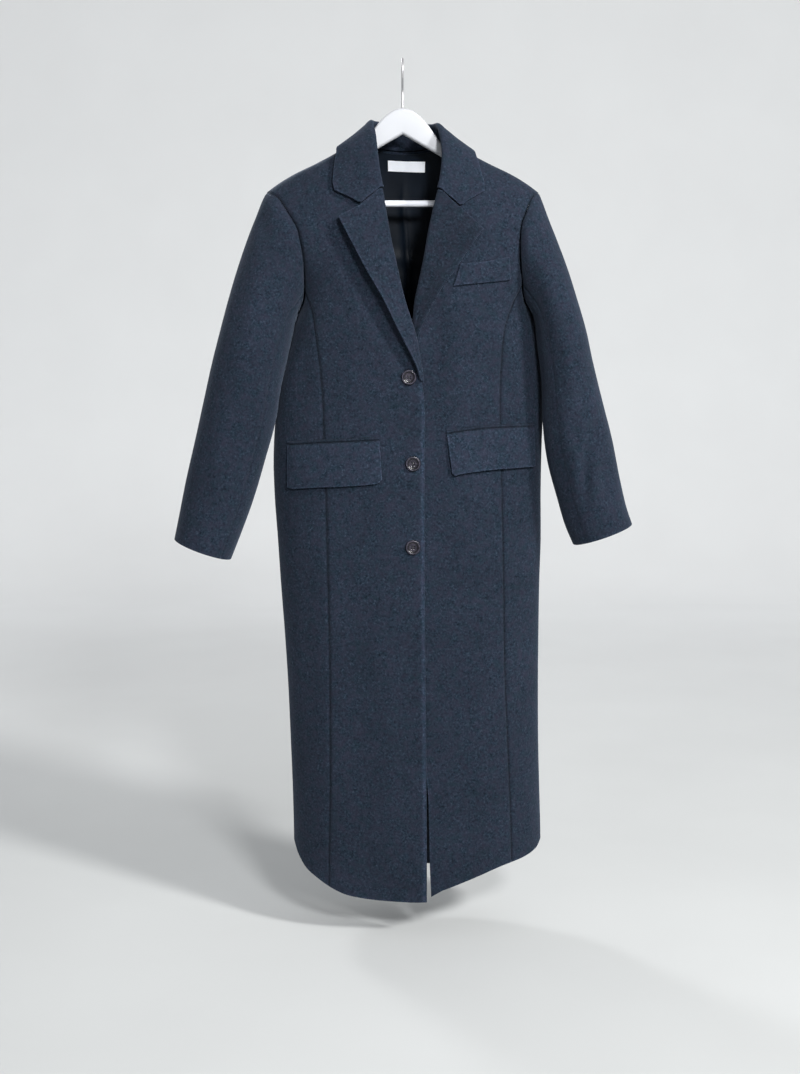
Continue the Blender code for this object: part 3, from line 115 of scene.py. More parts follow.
SHOULDER_TIP = 0.218
SHOULDER_ROUND = 0.20        # half depth below the shoulder line is this times sqrt(drop)
SHOULDER_POWER = 4           # how tightly that round turns into the body below it
SQUARE_LEFT = 2.6            # how boxy the section is towards each side: 2 is an ellipse
SQUARE_RIGHT = 2.1
UNDERARM = -0.392
PRINCESS_TOP_LEFT = -0.366   # where each princess seam leaves the armhole
PRINCESS_TOP_RIGHT = -0.354

# top of the shoulder, by distance from the middle of the coat
[shoulder_line] = lines(
    (0.0, -0.088), (0.04, -0.104), (0.075, -0.1255), (0.104, -0.142), (0.136, -0.159),
    (0.173, -0.1766), (0.197, -0.1905), (0.218, -0.2055), (0.3, -0.27))

# by height: the side edges, and the depths of front and back
body_left, body_right, front_depth, back_depth = lines(
    (-0.08, -0.29, 0.296, 0.092, 0.066), (-0.2, -0.262, 0.268, 0.092, 0.066),
    (-0.26, -0.222, 0.242, 0.092, 0.068), (-0.32, -0.186, 0.217, 0.092, 0.07),
    (-0.3745, -0.161, 0.2025, 0.092, 0.07), (-0.417, -0.1742, 0.2135, 0.091, 0.068),
    (-0.461, -0.1855, 0.2216, 0.09, 0.066), (-0.504, -0.197, 0.2268, 0.089, 0.065),
    (-0.56, -0.2062, 0.2289, 0.087, 0.064), (-0.602, -0.211, 0.228, 0.086, 0.064),
    (-0.667, -0.2106, 0.227, 0.085, 0.065), (-0.767, -0.205, 0.228, 0.084, 0.067),
    (-0.867, -0.199, 0.226, 0.084, 0.069), (-0.968, -0.192, 0.226, 0.085, 0.071),
    (-1.07, -0.188, 0.227, 0.087, 0.073), (-1.173, -0.1845, 0.23, 0.089, 0.076),
    (-1.27, -0.183, 0.2335, 0.091, 0.079), (-1.38, -0.183, 0.235, 0.092, 0.081))

# by height: where the sleeve seams cross the front and the back
left_arm_front, left_arm_back, right_arm_front, right_arm_back = lines(
    (-0.2055, -0.218, -0.218, 0.218, 0.218), (-0.213, -0.2, -0.204, 0.208, 0.208),
    (-0.235, -0.184, -0.188, 0.197, 0.196), (-0.2655, -0.1655, -0.175, 0.1865, 0.188),
    (-0.29, -0.1595, -0.169, 0.185, 0.186), (-0.315, -0.1555, -0.165, 0.186, 0.187),
    (-0.354, -0.1545, -0.156, 0.1905, 0.188), (-0.374, -0.1568, -0.1552, 0.1934, 0.1903),
    (-0.3885, -0.1626, -0.1622, 0.2021, 0.2011), (-0.392, -0.1647, -0.1647, 0.2056, 0.2056))

princess_left, princess_right = lines(
    (-0.354, -0.162, 0.1905), (-0.366, -0.1555, 0.184), (-0.393, -0.1443, 0.1725),
    (-0.431, -0.1383, 0.161), (-0.478, -0.1312, 0.157), (-0.52, -0.1265, 0.1556),
    (-0.592, -0.1256, 0.157), (-0.674, -0.1226, 0.1595), (-0.79, -0.1205, 0.1628),
    (-0.965, -0.1175, 0.1668), (-1.143, -0.118, 0.1756), (-1.274, -0.1205, 0.1805),
    (-1.38, -0.122, 0.183))


# ---- closure, neck and hem

NECK_LEFT = -0.072           # where the neckline meets each shoulder seam
NECK_RIGHT = 0.078
BACK_NECK_HEIGHT = -0.137

# by height: inner edge of the front that laps over, with its neck, roll line and closure
[top_edge] = lines(
    (-0.1236, NECK_LEFT), (-0.14, -0.0615), (-0.16, -0.049), (-0.182, -0.0405), (-0.205, -0.035),
    (-0.2667, -0.0251), (-0.332, -0.011), (-0.3677, -0.0032), (-0.4126, 0.0109), (-0.4374, 0.0188),
    (-0.4716, 0.0251), (-0.502, 0.0297), (-0.513, 0.035), (-0.79, 0.0358), (-1.353, 0.0402),
    (-1.4, 0.0402))

# the same edge of the front that lies under
[under_edge] = lines(
    (-0.1275, NECK_RIGHT), (-0.14, 0.0735), (-0.16, 0.069), (-0.182, 0.0645), (-0.207, 0.059),
    (-0.2228, 0.0546), (-0.2748, 0.0435), (-0.332, 0.0335), (-0.3876, 0.0216), (-0.4171, 0.0193),
    (-0.44, 0.018), (-0.47, 0.001), (-0.49, -0.006), (-0.8, -0.006), (-1.0, 0.015),
    (-1.176, 0.0414), (-1.288, 0.0445), (-1.4, 0.05))

# by height: how far the under front lies behind the one that laps over it
[sink_depth] = lines(
    (-0.2, 0.0), (-0.33, 0.0), (-0.38, 5.5 * MM), (-0.425, 10.5 * MM), (-0.455, 10.0 * MM),
    (-0.51, 5.0 * MM), (-0.6, 4.0 * MM), (-1.4, 4.0 * MM))
SINK_FULL = 0.046            # the whole depth up to here, none past the second line
SINK_NONE = 0.088

# across: height of the hem in front and behind
hem_front, hem_back = lines(
    (-0.22, -1.262, -1.262), (-0.1825, -1.27, -1.27), (-0.175, -1.285, -1.28),
    (-0.1624, -1.304, -1.294), (-0.1422, -1.319, -1.308), (-0.1206, -1.332, -1.32),
    (-0.089, -1.344, -1.334), (-0.03, -1.351, -1.344), (0.038, -1.354, -1.3465),
    (0.05, -1.343, -1.3455), (0.0713, -1.3325, -1.342), (0.1156, -1.3157, -1.326),
    (0.162, -1.299, -1.308), (0.203, -1.289, -1.291), (0.223, -1.281, -1.281),
    (0.2337, -1.27, -1.27), (0.26, -1.258, -1.258))


# ---- the surface of the coat

NEAR_EDGE = 2e-4             # how close to a side or a shoulder seam a normal is still worked out
NORMAL_STEP = 1e-4
THINNEST = 1e-9              # half depth below which front and back meet
SLIVER = 1e-12               # a facet of less area takes no point and turns no normal
OUTSIDE = -1e-4              # a corner's share down to this still counts as on the facet


def shoulder_height(x):
    return shoulder_line(abs(x))


def across(x, z):
    """Where x lies between the sides at height z: -1 and 1 are the side seams."""
    middle = (body_left(z) + body_right(z)) / 2
    half = (body_right(z) - body_left(z)) / 2
    share = min(max((x - middle) / half, -1.0), 1.0)
    return math.asin(share) * 2 / math.pi


def x_across(w, z):
    middle = (body_left(z) + body_right(z)) / 2
    half = (body_right(z) - body_left(z)) / 2
    return middle + half * math.sin(w * math.pi / 2)


def body_point(side, w, z):
    """Point of the coat's outer surface: side is FRONT or BACK, w runs from side to side."""
    share = abs(math.sin(w * math.pi / 2))
    square = SQUARE_LEFT if w < 0 else SQUARE_RIGHT
    depth = front_depth(z) if side == FRONT else back_depth(z)
    box = depth * max(1 - share ** square, 0.0) ** (1 / square)
    x = x_across(w, z)
    tent = SHOULDER_ROUND * math.sqrt(max(shoulder_height(x) - z, 0.0))
    if min(box, tent) < THINNEST:
        return Vector((x, 0.0, z))
    depth = (box ** -SHOULDER_POWER + tent ** -SHOULDER_POWER) ** (-1 / SHOULDER_POWER)
    return Vector((x, side * depth, z))


def shoulder_normal(x):
    slope = (shoulder_height(x + NORMAL_STEP) - shoulder_height(x - NORMAL_STEP)) / (2 * NORMAL_STEP)
    return Vector((-slope, 0, 1)).normalized()


def body_normal(side, w, z):
    x = x_across(w, z)
    if shoulder_height(x) - z < NEAR_EDGE:
        return shoulder_normal(x)
    w = min(max(w, -1 + NEAR_EDGE), 1 - NEAR_EDGE)
    along = body_point(side, w + NORMAL_STEP, z) - body_point(side, w - NORMAL_STEP, z)
    up = body_point(side, w, z + NORMAL_STEP) - body_point(side, w, z - NORMAL_STEP)
    return (along.cross(up) * -side).normalized()


def cloth(side, x, z, under=False):
    """Outer point and normal of a panel at x and z. The under front lies behind the other one."""
    w = across(x, z)
    point, normal = body_point(side, w, z), body_normal(side, w, z)
    if under:
        point -= normal * (sink_depth(z) * (1 - fade(SINK_FULL, SINK_NONE, x)))
    return point, normal


def points_of(grid):
    return [[point for point, _ in row] for row in grid]


def trimmed(points, gap):
    """A grid of points with its four edges drawn back by gap, for the seams."""
    points = [list(row) for row in points]

    def pull(row, column, to_row, to_column):
        towards = points[to_row][to_column] - points[row][column]
        if towards.length > gap:
            points[row][column] = points[row][column] + towards.normalized() * gap

    rows, columns = len(points), len(points[0])
    for row in range(rows):
        pull(row, 0, row, 1)
        pull(row, columns - 1, row, columns - 2)
    for column in range(columns):
        pull(0, column, 1, column)
        pull(rows - 1, column, rows - 2, column)
    return points


def triangle_share(spot, a, b, c):
    """Shares of three corners at a spot inside their triangle, or None outside it."""
    whole = (b - a).cross(c - a)
    if abs(whole) < SLIVER:
        return None
    on_b = (spot - a).cross(c - a) / whole
    on_c = (b - a).cross(spot - a) / whole
    if min(on_b, on_c, 1 - on_b - on_c) < OUTSIDE:
        return None
    return 1 - on_b - on_c, on_b, on_c


def on_facets(*grids):
    """Point and normal at x and z on the flat faces of panels, given as their grids."""
    def place(x, z):
        spot = Vector((x, z))
        for grid in grids:
            for low, high in zip(grid, grid[1:]):
                for j in range(len(low) - 1):
                    corners = (low[j], low[j + 1], high[j + 1], high[j])
                    flat = [Vector((point.x, point.z)) for point, _ in corners]
                    for a, b, c in ((0, 1, 2), (0, 2, 3)):
                        share = triangle_share(spot, flat[a], flat[b], flat[c])
                        if share is None:
                            continue
                        point = sum((corners[k][0] * w for k, w in zip((a, b, c), share)), Vector())
                        normal = sum((corners[k][1] * w for k, w in zip((a, b, c), share)), Vector())
                        return point, normal.normalized()
        raise ValueError(f"no panel at {x:.4f}, {z:.4f}")
    return place


def edge_at(grid, column, z):
    """Point and normal on one column of a grid, at height z."""
    for (low, low_normal), (high, high_normal) in zip([row[column] for row in grid],
                                                      [row[column] for row in grid[1:]]):
        if low.z <= z <= high.z:
            share = (z - low.z) / (high.z - low.z)
            return low.lerp(high, share), low_normal.lerp(high_normal, share).normalized()
    raise ValueError(f"no edge at {z:.4f}")


# ---- body panels

LOWER_ROWS = 15              # rows of a panel from the hem up to the armhole
UPPER_ROWS = 9               # and from there to the shoulder
BACK_UPPER_ROWS = 11         # of the back, from the underarm to the shoulder
HEM_ZONE = -1.180            # the hem's curve fades out up to this height
CROWDING = 1.4               # the rows lie closer together towards the armhole
HEM_ROWS = 3                 # rows in the hem's zone
FRONT_COLUMNS = 9
SIDE_COLUMNS = 5
BACK_COLUMNS = 6             # of the back over each shoulder, and as many across the neck
SETTLE = 4                   # times a height and its x are worked out from each other
HALVINGS = 30


def panel_row_heights(hem, split):
    """Heights up one column, from its hem to the start of the armhole."""
    heights = [mix(hem, HEM_ZONE, share) for share in steps(HEM_ROWS)[:-1]]
    rises = [1 - (1 - share) ** CROWDING for share in steps(LOWER_ROWS - HEM_ROWS)]
    return heights + [mix(HEM_ZONE, split, rise) for rise in rises]


def back_neckline(x):
    """Height of the back neckline; past the neck points it is the shoulder line."""
    reach = NECK_LEFT if x < 0 else NECK_RIGHT
    if abs(x) >= abs(reach):
        return shoulder_height(x)
    return mix(BACK_NECK_HEIGHT, shoulder_height(reach), (x / reach) ** 2)


PANEL_SIDES = {              # hem, upper end of the columns, and how far up each upper row lies
    FRONT: (hem_front, shoulder_height,
            [math.sin(math.pi / 2 * share) for share in steps(UPPER_ROWS)[1:]]),
    BACK: (hem_back, back_neckline,
           [(1 - math.cos(math.pi * share)) / 2 for share in steps(BACK_UPPER_ROWS)[1:]])}


def panel(side, lower, upper, split, top_x, under=False):
    """Grid of a panel: from the hem up to split between the two lower edges, and from there to
    the shoulder between the two upper ones. Its columns end at top_x."""
    hem, top_height, rises = PANEL_SIDES[side]
    shares = steps(len(top_x) - 1)
    grid = []
    for row in range(LOWER_ROWS + 1):
        line = []
        for share in shares:
            z = split if row == LOWER_ROWS else HEM_ZONE
            for _ in range(SETTLE):
                x = x_across(mix(*(across(edge(z), z) for edge in lower), share), z)
                z = panel_row_heights(hem(x), split)[row]
            line.append(cloth(side, x, z, under))
        grid.append(line)

    def ends(rise):
        """How far across the two upper edges are, and how high, at this share of the way up."""
        heights = [mix(split, top_height(top_x[end]), rise) for end in (0, -1)]
        return [across(edge(z), z) for edge, z in zip(upper, heights)], heights

    (left_w, right_w), tops = ends(1)
    for rise in rises:
        ws, heights = ends(rise)
        line = []
        for low, goal in zip(shares, top_x):
            goal_z = top_height(goal)
            high = (across(goal, goal_z) - left_w) / (right_w - left_w)
            share = mix(low, high, rise)
            z = mix(*heights, share) + (goal_z - mix(*tops, high)) * rise ** 2
            x = x_across(mix(*ws, share), z)
            if rise == 1:
                x, z = goal, goal_z
            line.append(cloth(side, x, min(z, shoulder_height(x)), under))
        grid.append(line)
    return grid


def side_panel(sign, arm_edge, princess, princess_top):
    """Grid of a side front: from the hem to the armhole's lower end."""
    def armhole_height(w):
        """Height at which a column, w across, ends on the armhole."""
        low, high = UNDERARM, princess_top
        for _ in range(HALVINGS):
            middle = (low + high) / 2
            if abs(across(arm_edge(middle), middle)) > abs(w):
                low = middle
            else:
                high = middle
        return middle

    top_w = across(princess(princess_top), princess_top)
    grid = []
    for row in range(LOWER_ROWS + 1):
        line = []
        for share in steps(SIDE_COLUMNS):
            reach = mix(sign, top_w, share)
            split = UNDERARM if share == 0 else armhole_height(reach)
            z = HEM_ZONE if row < LOWER_ROWS else split
            for _ in range(SETTLE):
                w = mix(sign, across(princess(z), z), share)
                z = panel_row_heights(hem_front(x_across(w, z)), split)[row]
            if row == LOWER_ROWS:
                w = reach
            line.append((body_point(FRONT, w, z), body_normal(FRONT, w, z)))
        grid.append(line)
    return grid


# ---- sleeves

SleeveRow = namedtuple("SleeveRow", "out_x out_z in_x in_z middle_y half_depth")
# outer and inner edge of each ring, from the shoulder down to the cuff
SLEEVE_RIGHT = [SleeveRow(*row) for row in (
    (-0.22, -0.2055, -0.1653, -0.3925, 0.0, 0.06),
    (-0.2255, -0.2185, -0.1697, -0.399, -0.008, 0.06),
    (-0.237, -0.2496, -0.1711, -0.4065, -0.013, 0.06),
    (-0.2485, -0.281, -0.1731, -0.4155, -0.019, 0.06),
    (-0.2635, -0.328, -0.1762, -0.433, -0.027, 0.059),
    (-0.277, -0.3755, -0.1815, -0.458, -0.034, 0.058),
    (-0.29, -0.4235, -0.1878, -0.486, -0.039, 0.057),
    (-0.3027, -0.471, -0.1945, -0.516, -0.041, 0.056),
    (-0.318, -0.5355, -0.203, -0.567, -0.041, 0.055),
    (-0.3333, -0.6003, -0.2205, -0.629, -0.04, 0.053),
    (-0.349, -0.665, -0.2405, -0.6945, -0.04, 0.051),
    (-0.363, -0.7302, -0.265, -0.7595, -0.04, 0.049),
    (-0.3694, -0.7595, -0.2785, -0.793, -0.04, 0.048))]
SLEEVE_LEFT = [SleeveRow(*row) for row in (
    (0.2205, -0.2055, 0.2062, -0.3925, 0.0, 0.06), (0.2247, -0.2185, 0.2105, -0.399, -0.008, 0.06),
    (0.2355, -0.2496, 0.2123, -0.4065, -0.013, 0.06),
    (0.2468, -0.281, 0.2137, -0.4155, -0.019, 0.06),
    (0.2633, -0.328, 0.2145, -0.433, -0.027, 0.059),
    (0.2777, -0.3755, 0.217, -0.458, -0.034, 0.058),
    (0.292, -0.4235, 0.2205, -0.486, -0.039, 0.057),
    (0.3028, -0.471, 0.2232, -0.516, -0.041, 0.056),
    (0.3196, -0.5355, 0.2248, -0.567, -0.041, 0.055),
    (0.3372, -0.6003, 0.2325, -0.629, -0.04, 0.053),
    (0.3508, -0.665, 0.2502, -0.6945, -0.04, 0.051),
    (0.3628, -0.711, 0.2645, -0.7405, -0.04, 0.049), (0.3714, -0.735, 0.277, -0.769, -0.04, 0.048))]
SLEEVE_BLEND = 5             # rings over which the armhole's curve becomes an ellipse
BACK_SLEEVE_SEAM = 3         # column of the sleeve where its back seam runs
FRONT_SLEEVE_SEAM = BACK_UPPER_ROWS + UPPER_ROWS

# soft troughs pressed into the elbow: height, angle, length, width and depth
ELBOW_LEFT = (
    (-0.585, 1.25, 0.07, 0.3, 4.0 * MM), (-0.64, 1.05, 0.06, 0.3, 3.0 * MM))
ELBOW_RIGHT = (
    (-0.56, 2.0, 0.06, 0.35, 1.5 * MM),)


def armhole_ring(front, side, back, column):
    """Edge of the body round one armhole, as (angle, point): 0 is the shoulder tip, positive in
    front, and half a turn is the underarm."""
    tip = shoulder_height(SHOULDER_TIP)

    def turned(points, sign):
        rises = [min(max(2 * (point.z - UNDERARM) / (tip - UNDERARM) - 1, -1), 1) for point in points]
        return [(sign * math.acos(rise), point) for rise, point in zip(rises, points)]

    behind = [row[column][0] for row in back[LOWER_ROWS:]]
    ahead = [row[column][0] for row in front[LOWER_ROWS:-1]][::-1]
    below = [point for point, _ in side[-1][::-1][1:-1]]
    return turned(behind, -1) + turned(ahead + below, 1)


def ring_center(row):
    return Vector(((row.out_x + row.in_x) / 2, row.middle_y, (row.out_z + row.in_z) / 2))


def ring_point(row, angle):
    """Point of a sleeve's ring, an ellipse between its outer and inner edge."""
    half = Vector((row.out_x - row.in_x, 0, row.out_z - row.in_z)) / 2
    return ring_center(row) + half * math.cos(angle) - Vector((0, row.half_depth * math.sin(angle), 0))


def sleeve_point(table, index, angle, start, troughs):
    row = table[index]
    point = ring_point(row, angle)
    point += (start - ring_point(table[0], angle)) * (1 - fade(0, SLEEVE_BLEND, index))
    for height, turn, length, width, depth in troughs:
        near = math.exp(-((row.out_z - height) / length) ** 2)
        near *= math.exp(-((angle - turn) / width) ** 2)
        point += (ring_center(row) - point).normalized() * depth * near
    return point


# ---- lapels

WALL = 2.2 * MM              # shell cloth with its interlining
SEAM = 0.3 * MM              # pieces stay this far apart where they are sewn
ROLL_RADIUS = 2.2 * MM       # middle of the cloth where a lapel turns over
ROLL_LEAD = 0.6 * MM         # flat part before the roll
ROLL_POINTS = 5              # points round the turned edge of a lapel or collar
LAPEL_STEPS = 2              # rows between two rows of a lapel's table
LAPEL_COLUMNS = 4            # columns from the roll to the outer edge

LapelRow = namedtuple("LapelRow", "roll_x roll_z mid_x mid_z outer_x outer_z lift")
LAPEL_RIGHT = (              # the lapel on top, from the break up to the gorge
    (0.0328, -0.504, 0.028, -0.502, 0.0262, -0.5, 2.0 * MM),
    (0.03, -0.48, 0.024, -0.4785, 0.018, -0.477, 2.5 * MM),
    (0.0255, -0.452, 0.0142, -0.4495, 0.003, -0.447, 4.0 * MM),
    (0.018, -0.423, 0.0025, -0.419, -0.013, -0.415, 6.0 * MM),
    (0.006, -0.385, -0.013, -0.381, -0.032, -0.3765, 8.0 * MM),
    (-0.0071, -0.332, -0.0321, -0.332, -0.0571, -0.332, 9.0 * MM),
    (-0.016, -0.29, -0.0465, -0.2925, -0.077, -0.2945, 9.0 * MM),
    (-0.0235, -0.253, -0.057, -0.262, -0.0905, -0.269, 8.5 * MM),
    (-0.0313, -0.2064, -0.0651, -0.2322, -0.099, -0.251, 8.0 * MM))
LAPEL_LEFT = (               # the lapel that goes under
    (0.0144, -0.44, 0.0205, -0.439, 0.024, -0.438, 1.5 * MM),
    (0.0156, -0.4171, 0.024, -0.416, 0.033, -0.414, 2.0 * MM),
    (0.0179, -0.3876, 0.031, -0.389, 0.045, -0.39, 2.5 * MM),
    (0.024, -0.36, 0.043, -0.36, 0.0619, -0.3593, 3.0 * MM),
    (0.0298, -0.332, 0.054, -0.335, 0.078, -0.338, 3.0 * MM),
    (0.036, -0.296, 0.0665, -0.303, 0.097, -0.3095, 3.0 * MM),
    (0.044, -0.255, 0.08, -0.27, 0.1157, -0.283, 3.0 * MM),
    (0.055, -0.208, 0.0899, -0.2355, 0.127, -0.269, 3.0 * MM))


def laid_flat(direction, normal):
    """A direction laid flat on the cloth."""
    return (direction - normal * direction.dot(normal)).normalized()


def lapel_line(row, front, under, towards):
    """Middle of the cloth along one row: out of the front's edge, round the roll, and back."""
    base, normal = edge_at(front, -1 if towards > 0 else 0, row.roll_z)
    away = laid_flat(Vector((towards, 0, 0)), normal)
    start = base - normal * (WALL / 2) + away * SEAM
    pivot = start + normal * ROLL_RADIUS + away * ROLL_LEAD
    points = [start]
    for share in steps(ROLL_POINTS - 1):
        angle = math.pi * share - math.pi / 2
        points.append(pivot + (normal * math.sin(angle) + away * math.cos(angle)) * ROLL_RADIUS)
    height = 2 * ROLL_RADIUS - WALL / 2
    for share in steps(LAPEL_COLUMNS)[1:]:
        first = mix(Vector((base.x, row.roll_z)), Vector((row.mid_x, row.mid_z)), min(share * 2, 1))
        spot = mix(first, Vector((row.outer_x, row.outer_z)), max(share * 2 - 1, 0))
        point, lift = cloth(FRONT, spot.x, spot.y, under)
        points.append(point + lift * (height + row.lift * share))
    return points


def lapel_points(table, front, under, towards):
    rows = [Vector(row) for row in table]
    places = [i / LAPEL_STEPS for i in range((len(rows) - 1) * LAPEL_STEPS + 1)]
    return trimmed([lapel_line(LapelRow(*spline_point(rows, at)), front, under, towards)
                    for at in places], SEAM / 2)


# ---- collar

CollarRow = namedtuple(
    "CollarRow", "seam_x seam_z fold_x fold_y fold_z mid_x mid_z edge_x edge_z side lift")
# seam, fold line and outer edge, round the neck from the wearer's right to the left
COLLAR = [CollarRow(*row) for row in (
    (-0.0348, -0.2037, None, None, None, -0.0651, -0.229, -0.106, -0.2095, FRONT, 6.0 * MM),
    (-0.0405, -0.182, -0.0345, -0.057, -0.181, -0.07, -0.196, -0.1093, -0.196, FRONT, 5.5 * MM),
    (-0.049, -0.16, -0.0385, -0.046, -0.153, -0.071, -0.162, -0.1075, -0.172, FRONT, 5.0 * MM),
    (-0.0615, -0.14, -0.0425, -0.025, -0.118, -0.078, -0.141, -0.103, -0.151, FRONT, 7.0 * MM),
    (-0.072, -0.1236, -0.047, 0.001, -0.096, None, None, -0.1, -0.141, FRONT, 6.0 * MM),
    (-0.056, -0.1288, -0.043, 0.025, -0.0918, None, None, -0.08, -0.145, BACK, 5.5 * MM),
    (-0.028, -0.135, -0.0235, 0.0385, -0.0915, None, None, -0.042, -0.151, BACK, 4.5 * MM),
    (0.002, -0.137, 0.003, 0.042, -0.0918, None, None, 0.003, -0.153, BACK, 4.5 * MM),
    (0.03, -0.135, 0.029, 0.0385, -0.0935, None, None, 0.048, -0.151, BACK, 4.5 * MM),
    (0.06, -0.1296, 0.047, 0.024, -0.0968, None, None, 0.088, -0.145, BACK, 5.0 * MM),
    (0.078, -0.1275, 0.054, 0.001, -0.1005, None, None, 0.109, -0.142, FRONT, 5.5 * MM),
    (0.0735, -0.14, 0.059, -0.021, -0.12, 0.09, -0.146, 0.115, -0.155, FRONT, 6.0 * MM),
    (0.069, -0.16, 0.062, -0.042, -0.151, 0.092, -0.17, 0.122, -0.174, FRONT, 4.5 * MM),
    (0.0645, -0.182, 0.0595, -0.054, -0.18, 0.093, -0.201, 0.128, -0.196, FRONT, 4.5 * MM),
    (0.059, -0.205, None, None, None, 0.0899, -0.2325, 0.128, -0.21, FRONT, 4.5 * MM))]
COLLAR_STEPS = 2             # columns between two rows of the collar's table
COLLAR_RISE = 3              # points up the stand
COLLAR_FALL = 3              # and down each half of the fall
COLLAR_CLEAR = 1.6 * MM      # between the neckline and the foot of the stand
FALL_SWELL = 1.0 * MM        # the fall lies this much higher half way down
NECK_MIDDLE = 0.003
GORGE_CLEAR = 0.5 * MM       # between the front's edge and the collar at the gorge
GORGE_LEAD = 1.5 * MM        # flat part there before the fold
GORGE_GAP = 0.6 * MM         # half the distance between the collar and a lapel along the gorge


def collar_station(row):
    """Seam, fold, middle and edge of the collar at one row of its table."""
    seam, seam_normal = cloth(row.side, row.seam_x, row.seam_z)
    seam -= seam_normal * (WALL / 2)
    if row.fold_x is None:
        # at the gorge the collar turns over like the lapel below it
        away = laid_flat(Vector((-row.seam_x, 0, 0)), seam_normal)
        seam += away * GORGE_CLEAR
        fold = seam + away * (ROLL_RADIUS + GORGE_LEAD)
    else:
        fold = Vector((row.fold_x, row.fold_y, row.fold_z))
        seam += (fold - seam).normalized() * COLLAR_CLEAR
    edge, edge_normal = cloth(row.side, row.edge_x, min(row.edge_z, shoulder_height(row.edge_x)))
    edge += edge_normal * row.lift
    if row.mid_x is None:
        # round the neck the fall hangs free from the fold to its edge
        outward = Vector((fold.x - NECK_MIDDLE, fold.y, 0)).normalized()
        middle = (fold + outward * 2 * ROLL_RADIUS).lerp(edge, 0.5)
    else:
        middle, middle_normal = cloth(row.side, row.mid_x, row.mid_z)
        middle += middle_normal * (row.lift + FALL_SWELL)
    return seam, fold, middle, edge


def collar_line(seam, fold, middle, edge, along):
    """Middle of the collar's cloth: up the stand, over the fold and down the fall. The roll
    turns square to along, the direction of the fold line."""
    rise = (fold - seam).normalized()
    along = (along - rise * along.dot(rise)).normalized()
    fall = middle - fold
    fall = (fall - rise * fall.dot(rise) - along * fall.dot(along)).normalized()
    pivot = fold + fall * ROLL_RADIUS - rise * ROLL_RADIUS
    inner = pivot - fall * ROLL_RADIUS
    points = [seam.lerp(inner, share) for share in steps(COLLAR_RISE)[:-1]]
    # the roll ends where its tangent runs to the middle of the fall
    reach = Vector(((middle - pivot).dot(fall), (middle - pivot).dot(rise)))
    leave = math.atan2(reach.y, reach.x) + math.acos(ROLL_RADIUS / reach.length)
    for share in steps(ROLL_POINTS - 1):
        angle = mix(math.pi, leave, share)
        points.append(pivot + (fall * math.cos(angle) + rise * math.sin(angle)) * ROLL_RADIUS)
    last = points[-1]
    points += [last.lerp(middle, share) for share in steps(COLLAR_FALL)[1:]]
    points += [middle.lerp(edge, share) for share in steps(COLLAR_FALL)[1:]]
    return points


def collar_points():
    tracks = list(zip(*map(collar_station, COLLAR)))
    last = len(COLLAR) - 1
    points = []
    for i in range(last * COLLAR_STEPS + 1):
        at = i / COLLAR_STEPS
        # the way the fold line runs, from half a row before to half a row after
        along = (spline_point(tracks[1], min(at + 0.5, last))
                 - spline_point(tracks[1], max(at - 0.5, 0)))
        points.append(collar_line(*(spline_point(track, at) for track in tracks), along))
    return trimmed(points, GORGE_GAP)


# ---- pockets, label and lining

PATCH_ROWS = 3
PATCH_OFFSET = 0.4 * MM      # a patch lies this far out from the panel under it
NEAR_LINE = 0.03             # lines of a patch closer than this share of its width are one
JET_HEIGHT = 5.5 * MM
Patch = namedtuple("Patch", "left_top right_top left_bottom right_bottom rows")

# the rows of a patch are a share of its width, and the heights of its top and bottom there
FLAP_RIGHT = Patch(-0.1832, -0.0364, -0.182, -0.032, (
    (0.0, -0.606, -0.6745), (0.02, -0.606, -0.6758), (0.35, -0.6025, -0.673), (0.7, -0.6, -0.67),
    (0.93, -0.5983, -0.6665), (0.98, -0.598, -0.664), (1.0, -0.598, -0.659)))
FLAP_LEFT = Patch(0.0696, 0.21, 0.078, 0.211, (
    (0.0, -0.5875, -0.649), (0.02, -0.5872, -0.6522), (0.25, -0.5825, -0.6485),
    (0.55, -0.5787, -0.6448), (0.85, -0.578, -0.643), (0.98, -0.578, -0.6425), (1.0, -0.578, -0.641)))
CHEST_WELT = Patch(0.0905, 0.1674, 0.079, 0.1694, (
    (0.0, -0.322, -0.357), (0.5, -0.3185, -0.352), (0.97, -0.3115, -0.3467), (1.0, -0.3113, -0.346)))
LABEL = Patch(-0.024, 0.037, -0.0237, 0.0367, (
    (0.0, -0.15, -0.1665), (0.5, -0.1512, -0.1677), (1.0, -0.152, -0.1688)))

LINING_WALL = 1.0 * MM
LINING_GAP = 0.6 * MM        # between the back and its lining
LINING_EASE = 0.7 * MM       # more of it along the neckline
LINING_SIDE = 1              # the lining ends this many columns inside the armholes
LINING_HEM = 22.0 * MM       # and this far above the coat's hem
LINING_TOP_GAP = 3.5 * MM    # and this far below the neckline
EASE_START = -0.165
PLEATS = ((7.6, 1.0 * MM), (9.0, 3.0 * MM), (10.6, 1.5 * MM))     # folds: column of the back and depth
PLEAT_WIDTH = 0.14           # in columns
PLEAT_STEP = 0.15            # between the lining's columns at a fold
PLEAT_START = -0.172         # the folds open below the label
PLEAT_FULL = -0.215


